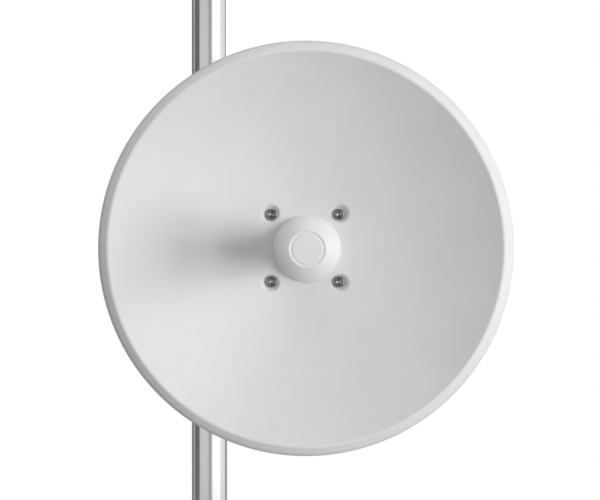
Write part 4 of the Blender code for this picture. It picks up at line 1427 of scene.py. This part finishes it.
middle_height = (CAST_FRONT - RADIO_SPLIT) / 2
rib_line = [tuple(p) for p in radio_ring(WAIST_DEPTH / 2 + 0.0003, middle_height)]
rib_size = (RIB_WIDTH, WAIST_DEPTH - 0.0004, CAST_FRONT + RADIO_SPLIT - 2 * RIM + 0.0004)
cooling_ribs = seams_object("cooling_ribs", [[*rib_line, rib_line[0]]])
run_tree(cooling_ribs, RIB_SETTER, cast_alloy, {"Spacing": RIB_SPACING, "Rib": rib_size})
cooling_ribs.data.transform(DISH_PLACE)
dress(cooling_ribs, "antenna", "cast_aluminium")

# %% Mould the rear shell
SHELL_ROUND = 0.0060


def shell_levels(steps=8):
    """From the split to the back: a drip groove, a broad soft edge, and a shallow panel in the rear face."""
    mouth = -RADIO_SPLIT - PLAY
    back = -RADIO_BACK
    levels = [(0.0025, mouth - 0.006), (0.0025, mouth), (0.0004, mouth), (0, mouth - 0.0004)]
    levels += [(0, mouth - 0.0030), (0.0004, mouth - 0.0033), (0.0004, mouth - 0.0042), (0, mouth - 0.0045)]
    for k in range(steps + 1):
        turn = math.radians(90 * k / steps)
        levels.append((SHELL_ROUND * (1 - math.cos(turn)), back + SHELL_ROUND * (1 - math.sin(turn))))
    levels += [(0.0095, back), (0.0102, back + 0.0003), (0.0108, back + 0.0009), (0.0114, back + 0.0011)]
    return levels


radio_shell = boxed("radio_shell", shell_levels(), radio_white)
dress(radio_shell, "antenna", "white_plastic", "radio_cover")

# %% [markdown]
# ## The door and the gland
# Below, a small black door covers the ports, and the cable enters through a gland. The gland's nut is
# grooved for the fingers: its rings are round above and below, and in between their radius swings in and
# out along the turn.

# %% Mould the port door
DOOR_RIDGES = 7


def port_door_piece():
    """A plate with a row of ridges for the thumb."""
    parts = [(blank(rounded_rectangle(0.030, -0.012, 0.012, 0.004), [], 0.004, 0.0010), UPRIGHT)]
    for k in range(DOOR_RIDGES):
        ridge = blank(rounded_rectangle(0.0006, -0.0075, 0.0075, 0.0005, 3), [], 0.0010, 0.0004)
        across = 0.018 + (k - (DOOR_RIDGES - 1) / 2) * 0.0022
        parts.append((ridge, Matrix.Translation((across, 0, 0.0034))))
    return joined(parts)


PORT_MIDDLE = -(RADIO_SPLIT + RADIO_BACK) / 2
PORT_HEIGHT = RADIO_BOTTOM - PLAY
door_place = DISH_PLACE @ Matrix.Translation((-0.008, PORT_HEIGHT, PORT_MIDDLE)) @ LYING
port_door = plate_piece("port_door", port_door_piece(), black_moulding, door_place)
dress(port_door, "antenna", "black_plastic", "port_cover")

# %% Mould the gland
GLAND_TURNS = [math.tau * k / 96 for k in range(96)]


def grooved_ring(radius, height, depth=0.0004, grooves=16):
    return [spoke(t, radius - depth * (0.5 - 0.5 * math.cos(grooves * t)), height) for t in GLAND_TURNS]


def gland_rings():
    """A plain seat, the grooved nut, and a taper to the mouth where the cable goes in."""
    wide, narrow, bore = 0.0105, 0.0080, 0.0045
    levels = [(0.0083, 0, 0), (0.0085, 0.0002, 0), (0.0085, 0.0058, 0), (wide - 0.0006, 0.0060, 0)]
    levels += [(wide, 0.0067), (wide, 0.0150), (wide - 0.0007, 0.0160, 0), (narrow + 0.0002, 0.0196, 0)]
    levels += [(narrow - 0.0004, 0.0200, 0), (bore + 0.0008, 0.0200, 0), (bore, 0.0190, 0), (bore, 0, 0)]
    return [grooved_ring(*level) for level in levels]


gland_place = DISH_PLACE @ Matrix.Translation((0.036, PORT_HEIGHT, PORT_MIDDLE)) @ LYING
gland_moulding = plate_piece("gland_moulding", shell(gland_rings(), True), black_moulding, gland_place)
dress(gland_moulding, "antenna", "black_plastic", "cable_gland")
